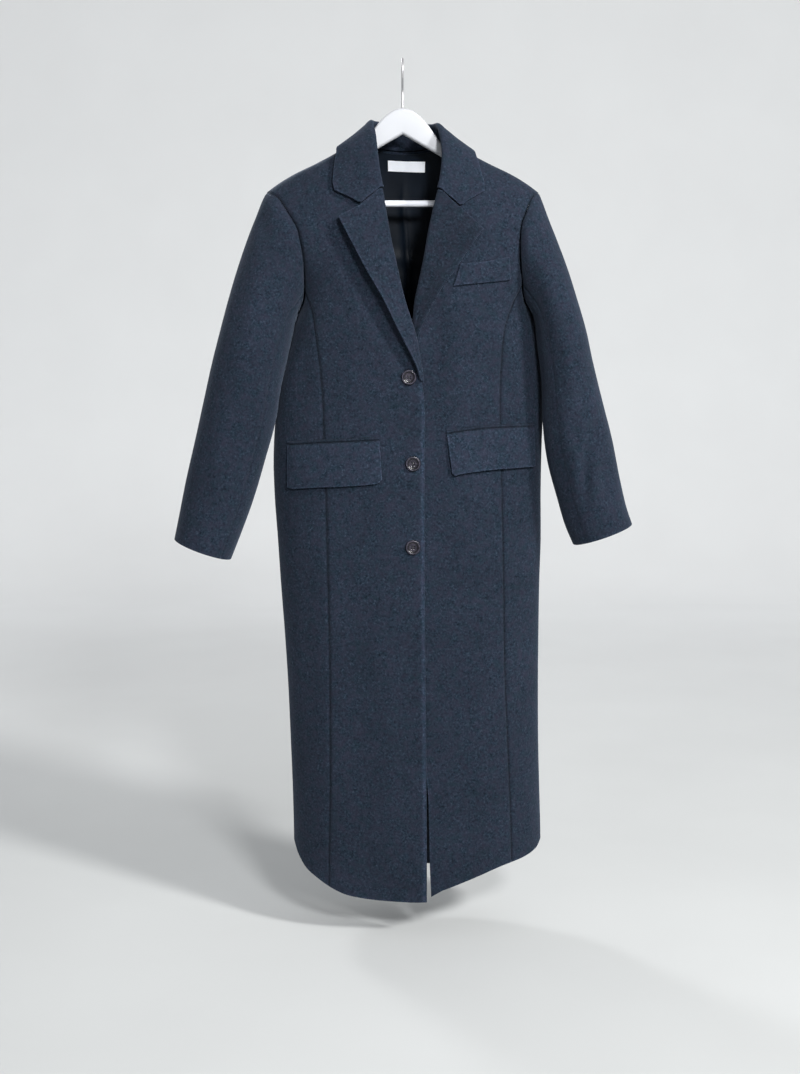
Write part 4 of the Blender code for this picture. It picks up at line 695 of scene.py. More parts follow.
def patch_lines(patch, panels):
    """Lines down a patch, in order: fixed shares of its width, and columns of the panels."""
    middle = sum(line(0.5) for line in lines(*patch.rows)) / 2
    left = (patch.left_top + patch.left_bottom) / 2
    right = (patch.right_top + patch.right_bottom) / 2
    found = [(share, None, None) for share, _, _ in patch.rows]
    for grid in panels:
        for column in range(len(grid[0])):
            if not grid[0][column][0].z <= middle <= grid[-1][column][0].z:
                continue
            share = (edge_at(grid, column, middle)[0].x - left) / (right - left)
            if NEAR_LINE < share < 1 - NEAR_LINE:
                found = [line for line in found
                         if line[1] or line[0] in (0.0, 1.0) or abs(line[0] - share) > NEAR_LINE]
                if all(abs(line[0] - share) > NEAR_LINE / 2 for line in found):
                    found.append((share, grid, column))
    return sorted(found, key=lambda line: line[0])


def patch_points(patch, offset, panels, rows=PATCH_ROWS):
    """Grid of a patch that lies on panels and bends where they do."""
    top, bottom = lines(*patch.rows)
    place = on_facets(*panels)
    found = patch_lines(patch, panels)
    points = []
    for rise in steps(rows):
        left = mix(patch.left_bottom, patch.left_top, rise)
        right = mix(patch.right_bottom, patch.right_top, rise)
        row = []
        for share, grid, column in found:
            x = mix(left, right, share)
            z = mix(bottom(share), top(share), rise)
            if grid is not None:
                for _ in range(SETTLE):
                    z = mix(bottom(share), top(share), rise)
                    x = edge_at(grid, column, z)[0].x
                    share = (x - left) / (right - left)
            point, normal = place(x, z)
            row.append(point + normal * offset)
        points.append(row)
    return points


def jet_of(flap):
    rows = [(share, top + SEAM + JET_HEIGHT, top + SEAM) for share, top, _ in flap.rows]
    return flap._replace(rows=rows, left_bottom=flap.left_top, right_bottom=flap.right_top)


def between(row, at):
    """Point and normal on one row of a grid, at counts its columns."""
    j = min(int(at), len(row) - 2)
    return [low.lerp(high, at - j) for low, high in zip(row[j], row[j + 1])]


def lining_grid(back):
    """Grid of the lining, made from the points of the back and moved in. Its columns are those of
    the back, closer together at the folds."""
    columns = set(range(LINING_SIDE, len(back[0]) - LINING_SIDE))
    columns |= {column + beside * PLEAT_STEP for column, _ in PLEATS for beside in range(-2, 3)}
    last = len(back) - 1
    grid = []
    for number, row in enumerate(back):
        line = []
        for at in sorted(columns):
            point, normal = between(row, at)
            if number in (0, last):
                beside, beside_normal = between(back[1 if number == 0 else last - 1], at)
                gap = LINING_HEM if number == 0 else LINING_TOP_GAP
                share = gap / (beside - point).length
                point, normal = point.lerp(beside, share), normal.lerp(beside_normal, share)
            fold = sum(depth * math.exp(-((at - column) / PLEAT_WIDTH) ** 2)
                       for column, depth in PLEATS) * fade(PLEAT_START, PLEAT_FULL, point.z)
            fold += LINING_EASE * fade(EASE_START, BACK_NECK_HEIGHT, point.z)
            flat = normal.normalized()
            line.append((point - normal * (WALL + LINING_GAP) - flat * fold, flat))
        grid.append(line)
    return grid


# ---- finer cloth

STEP = 4.0 * MM              # size of a face in the middle of a large panel
FINE_STEP = 2.5 * MM         # on the collar, lapels and flaps
NEAR_EDGES = [near * MM for near in (0.15, 0.4, 0.8, 1.3, 2.0, 3.0, 4.5)]
CLOSEST = 0.12 * MM          # two lines of a grid are never closer than this
SEAM_WIDTH = 3.0 * MM        # over which cloth turns in at a seam
FULL_EDGE = 0.92             # share of the thickness that a folded edge rounds away
SEAM_SHADE = 0.50            # painted shade: how much darker the cloth is painted deep in a seam
SHADE_WIDTH = 1.7 * MM

FREE = "free"                # kinds of edges: folded and free, faced, left square, or sewn
FACED = "faced"
PLAIN = "plain"
EDGE_HIGHLIGHT = {                # painted highlight along a folded edge: how much lighter, how far from the edge, how wide
    FREE: (0.34, 1.2 * MM, 1.6 * MM),
    FACED: (0.70, 3.4 * MM, 2.8 * MM)}
SEWN = 1.7 * MM              # how far cloth turns in at each kind of seam; against SEWN, also how dark its painted shade is
ARM_SEAM = 1.3 * MM
JET_SEAM = 1.5 * MM
SLEEVE_SEAM = 0.7 * MM
SIDE_SEAM = 0.2 * MM
SEAM_LAP = 0.1 * MM          # how far sleeve pieces pass their seams, so no light comes through


def lengths(points):
    """Mean distance along a grid to each of its rows, from the first one."""
    apart = np.linalg.norm(np.diff(points, axis=0), axis=2).mean(axis=1)
    return np.concatenate([[0.0], np.cumsum(apart)])


def stations(knots, step):
    """Places along a grid: its own lines, even cuts between them, and closer ones at both ends."""
    places = {knots[0]: 0, knots[-1]: 0}
    for low, high in zip(knots, knots[1:]):
        cuts = max(1, round((high - low) / step))
        for i in range(cuts):
            places[low + (high - low) * i / cuts] = 0
    for near in NEAR_EDGES:
        if near < knots[-1] / 3:
            places[knots[0] + near] = 1
            places[knots[-1] - near] = 1
    kept = []
    for place in sorted(places):
        if kept and place - kept[-1] < CLOSEST:
            if place == knots[-1]:
                kept[-1] = place
            continue
        kept.append(place)
    return np.array(kept)


def along_rows(points, knots, at):
    """Points of a grid between its rows, on smooth curves through them that never swing out."""
    knots = np.asarray(knots)
    width = np.diff(knots)[:, None, None]
    slope = np.diff(points, axis=0) / width
    tangent = np.empty_like(points)
    tangent[0], tangent[-1] = slope[0], slope[-1]
    tangent[1:-1] = (slope[:-1] * width[1:] + slope[1:] * width[:-1]) / (width[:-1] + width[1:])
    i = np.clip(np.searchsorted(knots, at, side="right") - 1, 0, len(knots) - 2)
    t = ((at - knots[i]) / (knots[i + 1] - knots[i]))[:, None, None]
    step = 3 * t ** 2 - 2 * t ** 3
    bend = tangent[i] * (t ** 3 - 2 * t ** 2 + t) + tangent[i + 1] * (t ** 3 - t ** 2)
    return points[i] * (1 - step) + points[i + 1] * step + bend * width[i]


def refined(points, step):
    """A finer grid through the same points: first its rows, then its columns."""
    for _ in range(2):
        knots = lengths(points)
        points = along_rows(points, knots, stations(knots, step)).swapaxes(0, 1)
    return points


def normals_of(points, facing):
    """Unit normals of a grid, on the side that faces this way at its middle."""
    normal = np.cross(np.gradient(points, axis=1), np.gradient(points, axis=0))
    normal /= np.maximum(np.linalg.norm(normal, axis=2, keepdims=True), SLIVER)
    middle = normal[len(points) // 2, len(points[0]) // 2]
    return normal if middle @ np.array(facing) > 0 else -normal


def edge_distances(points):
    """Distances along the cloth to the left, right, first and last edge of a grid."""
    found = []
    for axis in (1, 0):
        apart = np.linalg.norm(np.diff(points, axis=axis), axis=2)
        run = np.insert(np.cumsum(apart, axis=axis), 0, 0.0, axis=axis)
        found += [run, np.take(run, [-1], axis=axis) - run]
    return found


def drawn_in(kinds, distances, half):
    """How far the outer and inner side of the cloth draw in at its edges."""
    outer = np.zeros_like(distances[0])
    inner = np.zeros_like(distances[0])
    for kind, distance in zip(kinds, distances):
        if kind in EDGE_HIGHLIGHT:
            share = np.clip(1 - distance / half, 0, 1)
            round_off = FULL_EDGE * half * (1 - np.sqrt(1 - share ** 2))
            outer = np.maximum(outer, round_off)
            inner = np.maximum(inner, round_off)
        elif kind != PLAIN:
            outer = np.maximum(outer, kind * np.exp(-(distance / SEAM_WIDTH) ** 2))
    return outer, inner


def seam_shade_and_edge_highlight(kinds, distances):
    """Painted light at each point: painted shade in seams, painted highlights along folded edges."""
    tone = np.ones_like(distances[0])
    for kind, distance in zip(kinds, distances):
        if kind in EDGE_HIGHLIGHT:
            painted_light, place, width = EDGE_HIGHLIGHT[kind]
            # painted highlight along a folded edge
            tone += painted_light * np.exp(-((distance - place) / width) ** 2)
        elif kind != PLAIN:
            # painted shade in a seam
            tone -= SEAM_SHADE * kind / SEWN * np.exp(-(distance / SHADE_WIDTH) ** 2)
    return tone


def add_thing(name, mesh, data, sharp_angle=None):
    """An object from a mesh that is being edited, smooth up to the sharp angle, in degrees."""
    bmesh.ops.recalc_face_normals(mesh, faces=mesh.faces)
    mesh.to_mesh(data)
    mesh.free()
    data.shade_smooth()
    if sharp_angle:
        data.set_sharp_from_angle(angle=math.radians(sharp_angle))
    thing = bpy.data.objects.new(name, data)
    bpy.context.scene.collection.objects.link(thing)
    return thing


def shell(name, outer, inner, tone):
    """A closed wall between two grids of points."""
    rows, columns, _ = outer.shape
    number = np.arange(rows * columns).reshape(rows, columns)
    corners = np.stack([number[:-1, :-1], number[:-1, 1:], number[1:, 1:], number[1:, :-1]], axis=-1)
    faces = corners.reshape(-1, 4)
    rim = np.concatenate([number[0, :-1], number[:-1, -1], number[-1, :0:-1], number[:0:-1, 0]])
    below = rim + rows * columns
    side = np.stack([np.roll(rim, -1), rim, below, np.roll(below, -1)], axis=-1)
    quads = np.concatenate([faces, faces[:, [0, 3, 2, 1]] + rows * columns, side])
    data = bpy.data.meshes.new(name)
    points = np.concatenate([outer.reshape(-1, 3), inner.reshape(-1, 3)])
    data.from_pydata(points.tolist(), [], quads.tolist())
    # tone is painted light: shade in the seams and highlights along the folded edges
    data.attributes.new("tone", "FLOAT", "POINT").data.foreach_set("value", np.tile(tone.ravel(), 2))
    mesh = bmesh.new()
    mesh.from_mesh(data)
    return add_thing(name, mesh, data)


def finish_piece(thing, node, material):
    """A piece takes its material and slot, rides on the coat and stands for its solid."""
    thing.data.materials.append(material)
    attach(thing, "root")
    if node:
        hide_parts(node)
    return thing


# ---- creases

END_START = 0.08             # a crease starts and ends at this share of a half wave
SIDE_ON = 2.5                # how fast it fades where the cloth turns away from its side
BANK = 0.4                   # height of the soft bank beside a trough, as a share of its depth
BANK_PLACE = 1.9             # and how far out it lies, in widths


def creases(side, *rows):
    """Soft troughs, or ridges where the depth is negative. A row is x and z of one end, x and z
    of the other, and the width and depth in millimetres."""
    return [(side, *row) for row in rows]


BODY_CREASES = creases(
    FRONT,
    (-0.108, -0.262, 0.02, -0.505, 14.0, 5.0), (-0.162, -0.178, -0.158, -0.215, 5.0, 1.4),
    (-0.148, -0.205, -0.12, -0.3, 12.0, 1.2), (0.17, -0.205, 0.15, -0.29, 12.0, 1.2),
    (-0.06, -0.782, -0.002, -0.776, 3.0, 0.8), (-0.15, -0.4, -0.165, -0.56, 14.0, 2.0),
    (0.18, -0.39, 0.2, -0.53, 14.0, 1.8), (-0.085, -0.7, -0.078, -1.15, 26.0, 1.6),
    (-0.03, -0.82, -0.02, -1.3, 22.0, -1.4), (0.085, -0.72, 0.092, -1.28, 26.0, 1.8),
    (0.135, -0.9, 0.14, -1.29, 20.0, -1.3), (0.196, -0.64, 0.198, -1.2, 18.0, 1.6),
    (-0.155, -0.76, -0.15, -1.2, 18.0, 1.5))
BODY_CREASES += creases(
    BACK,
    (-0.12, -0.23, -0.09, -0.42, 16.0, 3.4), (0.125, -0.24, 0.085, -0.4, 16.0, 3.2),
    (-0.06, -0.48, -0.07, -1.0, 30.0, 4.2), (0.01, -0.62, 0.018, -1.28, 26.0, -3.4),
    (0.075, -0.52, 0.09, -1.18, 30.0, 4.4), (-0.135, -0.7, -0.14, -1.28, 24.0, 3.0),
    (0.16, -0.76, 0.165, -1.27, 22.0, 2.8), (-0.03, -0.3, 0.045, -0.318, 9.0, 1.4))
SLEEVE_CREASES = creases(
    FRONT,
    (0.292, -0.592, 0.29, -0.69, 8.0, 6.0), (0.268, -0.56, 0.288, -0.66, 8.0, 2.2),
    (0.31, -0.56, 0.296, -0.61, 10.0, 1.8), (0.322, -0.62, 0.33, -0.7, 13.0, 1.6),
    (0.245, -0.33, 0.262, -0.44, 12.0, 1.6), (0.235, -0.42, 0.255, -0.54, 9.0, 1.4),
    (-0.245, -0.29, -0.262, -0.42, 13.0, 1.6), (-0.222, -0.42, -0.245, -0.54, 10.0, 1.6),
    (-0.262, -0.56, -0.29, -0.65, 12.0, 1.6), (-0.3, -0.59, -0.322, -0.7, 14.0, 1.4),
    (-0.225, -0.215, -0.215, -0.3, 8.0, 1.2))
SLEEVE_CREASES += creases(
    BACK,
    (-0.25, -0.3, -0.275, -0.43, 14.0, 2.0), (-0.27, -0.52, -0.31, -0.56, 9.0, 2.2),
    (-0.265, -0.6, -0.32, -0.625, 8.0, 1.8), (0.25, -0.31, 0.272, -0.44, 14.0, 2.0),
    (0.262, -0.52, 0.312, -0.552, 9.0, 2.2), (0.272, -0.59, 0.326, -0.615, 8.0, 2.0))
LAPEL_CREASES = creases(
    FRONT,
    (-0.075, -0.262, -0.02, -0.33, 16.0, -1.6), (0.098, -0.262, 0.062, -0.33, 14.0, -1.0))


def pressed(points, normals, marks):
    """Depth of the creases at each point of a grid."""
    total = np.zeros(points.shape[:2])
    spots = points[:, :, [0, 2]]
    for side, x, z, to_x, to_z, width, depth in marks:
        start = np.array((x, z))
        run = np.array((to_x, to_z)) - start
        share = np.clip((spots - start) @ run / (run @ run), 0, 1)
        away = np.linalg.norm(spots - start - share[:, :, None] * run, axis=2) / (width * MM)
        ends = np.clip(np.sin(np.pi * (END_START + (1 - 2 * END_START) * share)), 0, 1)
        facing = np.clip(normals[:, :, 1] * side * SIDE_ON, 0, 1)
        trough = np.exp(-away ** 2) - BANK * np.exp(-(away - BANK_PLACE) ** 2)
        total += depth * MM * trough * ends * facing
    return total


def declare_sheet(fine):
    """Works out the distances to the piece's four edges; nothing is kept."""
    left, right, first, last = edge_distances(fine)


def cloth_piece(name, points, facing, out, inward, edges, material,
                step=STEP, marks=(), lift=None, nap_and_painted_light=1.0):
    """A piece of cloth on the points of its solid, with a kind for its left, right, first and
    last edge. step is the size of its faces, or None where the points are fine already. The
    last argument scales the piece's painted light: the whole piece is painted lighter or darker,
    in place of the light and shade that fall on it."""
    fine = np.array(points) if step is None else refined(np.array(points), step)
    normal = normals_of(fine, facing)
    distances = edge_distances(fine)
    if lift is not None:
        fine = fine + normal * lift(*distances)[:, :, None]
    fine = fine - normal * pressed(fine, normal, marks)[:, :, None]
    normal = normals_of(fine, facing)
    outer, inner = drawn_in(edges, distances, (out + inward) / 2)
    # the shell's tone is painted light: seam shade, edge highlights, and the whole piece lighter or
    # darker
    thing = shell(name + "_cloth", fine + normal * (out - outer)[:, :, None],
                  fine - normal * (inward - inner)[:, :, None], nap_and_painted_light * seam_shade_and_edge_highlight(edges, distances))
    finish_piece(thing, name, material)
    declare_sheet(fine)


# ---- materials

class Nodes:
    """A material's nodes, made and joined by short calls."""

    def __init__(self, name):
        self.material = bpy.data.materials.new(name)
        self.material.use_nodes = True
        self.tree = self.material.node_tree
        self.place = self.add("ShaderNodeTexCoord").outputs["Object"]

    def put(self, socket, value):
        if isinstance(value, bpy.types.NodeSocket):
            self.tree.links.new(value, socket)
        else:
            socket.default_value = value

    def fill(self, node, inputs):
        for key, value in inputs.items():
            self.put(node.inputs[key.replace("_", " ")], value)
        return node

    def add(self, kind, **inputs):
        return self.fill(self.tree.nodes.new(kind), inputs)

    def stored(self, name):
        """A value stored at each point of the mesh."""
        node = self.add("ShaderNodeAttribute")
        node.attribute_name = name
        return node.outputs["Color"]

    def noise(self, scale, detail=2.0, roughness=0.5):
        node = self.add("ShaderNodeTexNoise", Vector=self.place, Scale=scale, Detail=detail,
                        Roughness=roughness)
        return node.outputs["Fac"]

    def fibres(self, scale, detail, roughness, turn=(0, 0, 0)):
        """Noise with a scale for each axis, for fibres and grain."""
        mapped = self.add("ShaderNodeMapping", Vector=self.place, Scale=scale, Rotation=turn)
        node = self.add("ShaderNodeTexNoise", Vector=mapped.outputs["Vector"], Scale=1.0,
                        Detail=detail, Roughness=roughness)
        return node.outputs["Fac"]

    def ramp(self, fac, *stops):
        """Colours at places from 0 to 1. One number is a grey."""
        node = self.add("ShaderNodeValToRGB", Fac=fac)
        elements = node.color_ramp.elements
        while len(elements) < len(stops):
            elements.new(0.5)
        for element, (place, color) in zip(elements, stops):
            element.position = place
            element.color = (*np.broadcast_to(color, 3), 1.0)
        return node.outputs["Color"]

    def blend(self, fac, first, second, kind="MIX"):
        node = self.add("ShaderNodeMix")
        node.data_type = "RGBA"
        node.blend_type = kind
        self.put(node.inputs["Factor"], fac)
        # sockets 6 and 7 are the two colours, and output 2 is the blended one
        self.put(node.inputs[6], first)
        self.put(node.inputs[7], second)
        return node.outputs[2]

    def bump(self, height, strength, distance, **normal):
        node = self.add("ShaderNodeBump", Height=height, Strength=strength, Distance=distance, **normal)
        return node.outputs["Normal"]

    def finish(self, **inputs):
        self.fill(self.tree.nodes["Principled BSDF"], inputs)
        return self.material


def wool_material():
    """Milled melange wool: dark blue-grey with lighter and browner fibres and a soft pile, times the
    painted shade and highlights stored on each piece.
    """
    make = Nodes("wool")
    fibres = make.fibres((820, 820, 380), 3.0, 0.65, (0.0, 0.5, 0.3))
    heather = make.noise(280.0, 3.0, 0.72)
    mottle = make.noise(80.0, 3.0, 0.65)
    patches = make.fibres((55.0, 55.0, 88.0), 3.0, 0.65, (0.4, 0.2, 0.9))
    base = make.ramp(heather, (0.31, (0.0015, 0.0046, 0.0088)), (0.46, (0.0078, 0.0152, 0.0258)),
                     (0.57, (0.0142, 0.0242, 0.0400)), (0.74, (0.0400, 0.0570, 0.0840)))
    warmer = make.blend(make.ramp(mottle, (0.34, 0.0), (0.68, 0.7)), base, (0.0205, 0.0212, 0.0370, 1.0))
    cooler = make.blend(make.ramp(patches, (0.50, 0.0), (0.70, 0.5)), warmer,
                        (0.0095, 0.0205, 0.0300, 1.0))
    clouds = make.ramp(make.noise(14.0), (0.30, (0.80, 0.83, 0.83)), (0.70, 1.0))
    # multiplied by the stored tone: painted shade in seams, painted highlights along folded edges
    shaded = make.blend(1.0, make.blend(1.0, cooler, clouds, "MULTIPLY"), make.stored("tone"), "MULTIPLY")
    # a bump for the wool's pile
    nap_and_painted_light = make.bump(heather, 0.5, 1.0 * MM, Normal=make.bump(fibres, 0.5, 0.5 * MM))
    return make.finish(Base_Color=shaded, Roughness=0.95, Normal=nap_and_painted_light, Sheen_Weight=0.10,
                       Sheen_Roughness=0.5, Sheen_Tint=(0.60, 0.74, 1.0, 1.0),
                       Specular_IOR_Level=0.12)


def lining_material():
    """Dark satin with fine warp threads."""
    make = Nodes("lining")
    warp = make.fibres((2600, 2600, 60), 2.0, 0.5)
    tone = make.ramp(make.noise(30.0), (0.3, (0.002, 0.005, 0.010)), (0.7, (0.004, 0.008, 0.015)))
    rough = make.ramp(warp, (0.3, 0.42), (0.7, 0.56))
    return make.finish(Base_Color=tone, Roughness=rough, Normal=make.bump(warp, 0.2, 0.2 * MM),
                       Sheen_Weight=0.03, Specular_IOR_Level=0.12)


def thread_material(name, scale, darker, lighter, roughness, strength, sheen):
    """Thread or ribbon that is darker between its strands."""
    make = Nodes(name)
    strands = make.fibres(scale, 1.0, 0.5)
    tone = make.ramp(strands, (0.3, darker), (0.7, lighter))
    return make.finish(Base_Color=tone, Roughness=roughness,
                       Normal=make.bump(strands, strength, 0.2 * MM), Sheen_Weight=sheen)


def horn_material():
    """Polished dark horn with browner streaks, times the painted highlight and shade rings stored on each
    button.
    """
    make = Nodes("horn")
    streaks = make.fibres((140, 140, 420), 4.0, 0.6, (0.3, 0.2, 0.4))
    tone = make.ramp(streaks, (0.30, (0.006, 0.006, 0.009)), (0.52, (0.015, 0.014, 0.021)),
                     (0.72, (0.036, 0.031, 0.040)))
    painted_light = make.blend(1.0, tone, make.stored("tone"), "MULTIPLY")
    return make.finish(Base_Color=painted_light, Roughness=0.32,
                       Normal=make.bump(make.noise(900.0), 0.08, 0.1 * MM),
                       Specular_IOR_Level=0.25, Coat_Weight=0.10, Coat_Roughness=0.12)


def paint_material(name, darker, lighter):
    """White satin paint over fine wood grain."""
    make = Nodes(name)
    tone = make.ramp(make.noise(24.0), (0.3, darker), (0.7, lighter))
    grain = make.bump(make.fibres((18, 260, 260), 3.0, 0.6), 0.10, 0.3 * MM)
    surface = make.bump(make.noise(420.0), 0.05, 0.1 * MM, Normal=grain)
    return make.finish(Base_Color=tone, Roughness=0.5, Normal=surface, Specular_IOR_Level=0.3,
                       Coat_Weight=0.12, Coat_Roughness=0.3)


def metal_material():
    make = Nodes("hook_metal")
    drawn = make.fibres((900, 160, 160), 2.0, 0.5)
    tone = make.ramp(make.noise(180.0), (0.3, (0.52, 0.52, 0.54)), (0.7, (0.60, 0.60, 0.61)))
    return make.finish(Base_Color=tone, Metallic=0.8, Normal=make.bump(drawn, 0.08, 0.05 * MM),
                       Roughness=make.ramp(drawn, (0.3, 0.34), (0.7, 0.46)))


# ---- coat

LAPEL_WALL = 2.4 * MM        # facing and front, pressed together
COLLAR_WALL = 2.8 * MM       # top collar, under collar and interlining
FLAP_WALL = 2.6 * MM
LABEL_WALL = 0.8 * MM
FLAP_LIFT = 3.2 * MM         # how far a flap's lower edge stands off the coat
FLAP_CURVE = 0.7             # below 1 it stands off early, close under its top edge
# the flaps are painted lighter as a whole, standing in for the light they catch
FLAP_PAINTED_LIGHT = 1.16
JET_LIFT = 1.8 * MM          # how far the middle of a jet swells
JET_STEP = 1.0 * MM
LAPEL_LIFT_RIGHT = 6.5 * MM  # how far each lapel's outer edge springs off
LAPEL_LIFT_LEFT = 6.0 * MM
LAPEL_ENDS = 20.0 * MM       # over which that fades at the lapel's two ends
# the left lapel is painted darker as a whole, standing in for the shade that falls on it
LAPEL_LEFT_PAINTED_SHADE = 0.75
WELT_PAD = 1.2 * MM          # how much thicker the welt is, with its seam inside
BESIDE = 3                   # columns past a sleeve's seams that guide its curve there
ALL_FREE = (FREE, FREE, FREE, FREE)
AHEAD = (0, FRONT, 0)        # ways that a piece can face at its middle
BEHIND = (0, BACK, 0)


def sleeve_pieces(sign, word, table, ring, troughs, wool):
    """Top and under sleeve, finer on one smooth ring and parted along their seams."""
    rings = [[sleeve_point(table, i, angle, start, troughs) for angle, start in ring]
             for i in range(len(table))]
    rings[0] = [point + (after - point).normalized() * SEAM for point, after in zip(*rings[:2])]
    wrapped = np.array([row + row + row for row in rings])
    count = len(ring)
    for part, first, last, facing in (
            ("sleeve_top_", BACK_SLEEVE_SEAM, FRONT_SLEEVE_SEAM, sign),
            ("sleeve_under_", FRONT_SLEEVE_SEAM, count + BACK_SLEEVE_SEAM, -sign)):
        whole = wrapped[:, count + first - BESIDE:count + last + BESIDE + 1]
        inside = slice(BESIDE, BESIDE + last - first + 1)
        rows = lengths(whole[:, inside])
        whole = along_rows(whole, rows, stations(rows, STEP)).swapaxes(0, 1)
        knots = lengths(whole)
        own = knots[inside]
        at = stations(own - own[0], STEP) + own[0]
        at[0] -= SEAM_LAP
        at[-1] += SEAM_LAP
        cloth_piece(part + word, along_rows(whole, knots, at).swapaxes(0, 1), (facing, 0, 0), 0, WALL,
                    (SLEEVE_SEAM, SLEEVE_SEAM, ARM_SEAM, FREE), wool,
                    step=None, marks=SLEEVE_CREASES)


def lapel_lift(rise):
    """A lapel springs from its roll and stands off more towards its outer edge."""
    def lift(left, right, bottom, top):
        ends = np.clip(np.minimum(bottom, top) / LAPEL_ENDS, 0, 1)
        return rise * (left / (left + right)) ** 2 * ends
    return lift


def flap_lift(_left, _right, bottom, top):
    """A flap hangs from its top edge and stands off more towards its bottom."""
    return FLAP_LIFT * (top / (top + bottom)) ** FLAP_CURVE


def jet_lift(_left, _right, bottom, top):
    """A jet is padded by its seam: it swells between its two long edges."""
    return JET_LIFT * np.sin(np.pi * (top / (top + bottom)))


def pocket(word, flap, panels, wool):
    cloth_piece("pocket_flap_" + word, patch_points(flap, PATCH_OFFSET, panels), AHEAD, FLAP_WALL, 0,
                (FREE, FREE, FREE, JET_SEAM), wool, step=FINE_STEP, lift=flap_lift,
                nap_and_painted_light=FLAP_PAINTED_LIGHT)
    cloth_piece("pocket_jet_" + word, patch_points(jet_of(flap), PATCH_OFFSET, panels, rows=1), AHEAD,
                FLAP_WALL / 2, 0, (FREE, FREE, JET_SEAM, JET_SEAM), wool,
                step=JET_STEP, lift=jet_lift)


def coat(wool, lining, label):
    top_front = panel(FRONT, (princess_left, top_edge), (left_arm_front, top_edge),
                      PRINCESS_TOP_LEFT, spread(-SHOULDER_TIP, NECK_LEFT, FRONT_COLUMNS))
    under_front = panel(FRONT, (under_edge, princess_right), (under_edge, right_arm_front),
                        PRINCESS_TOP_RIGHT, spread(NECK_RIGHT, SHOULDER_TIP, FRONT_COLUMNS), under=True)
    side_right = side_panel(-1, left_arm_front, princess_left, PRINCESS_TOP_LEFT)
    side_left = side_panel(1, right_arm_front, princess_right, PRINCESS_TOP_RIGHT)
    back = panel(BACK, (body_left, body_right), (left_arm_back, right_arm_back), UNDERARM,
                 spread(-SHOULDER_TIP, NECK_LEFT, BACK_COLUMNS)
                 + spread(NECK_LEFT, NECK_RIGHT, BACK_COLUMNS)[1:]
                 + spread(NECK_RIGHT, SHOULDER_TIP, BACK_COLUMNS)[1:])
    for name, grid, facing, edges, rests_on in (
            ("front_right", top_front, AHEAD, (SEWN, FACED, FREE, SIDE_SEAM), "hanger_body"),
            ("front_left", under_front, AHEAD, (FREE, SEWN, FREE, SIDE_SEAM), "hanger_body"),
            ("side_front_right", side_right, AHEAD, (SIDE_SEAM, SEWN, FREE, ARM_SEAM), "front_right"),
            ("side_front_left", side_left, AHEAD, (SIDE_SEAM, SEWN, FREE, ARM_SEAM), "front_left"),
            ("back", back, BEHIND, (SIDE_SEAM, SIDE_SEAM, FREE, SIDE_SEAM), "hanger_body")):
        cloth_piece(name, trimmed(points_of(grid), SEAM / 2), facing, 0, WALL, edges, wool,
                    marks=BODY_CREASES)
    ring = armhole_ring(top_front, side_right, back, 0)
    sleeve_pieces(-1, "right", SLEEVE_RIGHT, ring, ELBOW_RIGHT, wool)
    ring = armhole_ring(under_front, side_left, back, -1)
    sleeve_pieces(1, "left", SLEEVE_LEFT, ring, ELBOW_LEFT, wool)
    cloth_piece("collar", collar_points(), BEHIND, COLLAR_WALL / 2, COLLAR_WALL / 2,
                (SIDE_SEAM, FREE, FREE, FREE), wool, step=FINE_STEP)
    # the last column paints each lapel lighter or darker as a whole
    for word, table, front, under, towards, rise, nap_and_painted_light in (
            ("right", LAPEL_RIGHT, top_front, False, 1, LAPEL_LIFT_RIGHT, 1.0),
            ("left", LAPEL_LEFT, under_front, True, -1, LAPEL_LIFT_LEFT, LAPEL_LEFT_PAINTED_SHADE)):
        cloth_piece("lapel_" + word, lapel_points(table, front, under, towards), AHEAD, LAPEL_WALL / 2,
                    LAPEL_WALL / 2, (PLAIN, FREE, FREE, FREE), wool,
                    step=FINE_STEP, marks=LAPEL_CREASES, lift=lapel_lift(rise), nap_and_painted_light=nap_and_painted_light)
    pocket("right", FLAP_RIGHT, (top_front, side_right), wool)
    pocket("left", FLAP_LEFT, (under_front, side_left), wool)
    cloth_piece("chest_welt", patch_points(CHEST_WELT, 2 * PATCH_OFFSET, (under_front,)), AHEAD,
                FLAP_WALL + WELT_PAD, 0, ALL_FREE, wool, step=FINE_STEP)
    lining_cloth = lining_grid(back)
    cloth_piece("back_lining", points_of(lining_cloth), BEHIND, 0, LINING_WALL,
                (PLAIN, PLAIN, FREE, PLAIN), lining, marks=BODY_CREASES)
    inside = LINING_WALL + SEAM
    cloth_piece("neck_label", patch_points(LABEL, 0, [lining_cloth], rows=2), BEHIND, -inside,
                inside + LABEL_WALL, ALL_FREE, label, step=FINE_STEP)


# ---- buttons

BUTTONS = (                  # name, x and height
    ("button_top", 0.01, -0.4985), ("button_middle", 0.0166, -0.6346),
    ("button_bottom", 0.0167, -0.7681))
BUTTON_RADIUS = 12.0 * MM
BUTTON_SEAT = 0.4 * MM
BUTTON_SIDES = 64
BUTTON_PROFILE = (           # radius as a share of the button's, height in millimetres
    (0.00, 0.2), (0.76, 0.0), (0.93, 0.5), (0.99, 1.3), (1.00, 2.0), (0.975, 2.75), (0.93, 3.2),
    (0.86, 3.4), (0.79, 3.3), (0.73, 3.0), (0.68, 2.55), (0.62, 2.2), (0.45, 2.0), (0.00, 1.9))
RING_HIGHLIGHT_AND_SHADE = (                   # radius as a share, and how light the horn is painted there: painted highlights on the rim and in the middle, painted shade in the groove
    (0.00, 2.0), (0.40, 1.8), (0.55, 0.9), (0.64, 0.35), (0.72, 0.4), (0.79, 1.6), (0.86, 3.2),
    (0.92, 1.6), (0.96, 0.6), (1.00, 0.35))
HOLE_RADIUS = 0.95 * MM
HOLE_OFFSET = 2.1 * MM / math.sqrt(2)    # of each hole from the button's middle, in x and in y
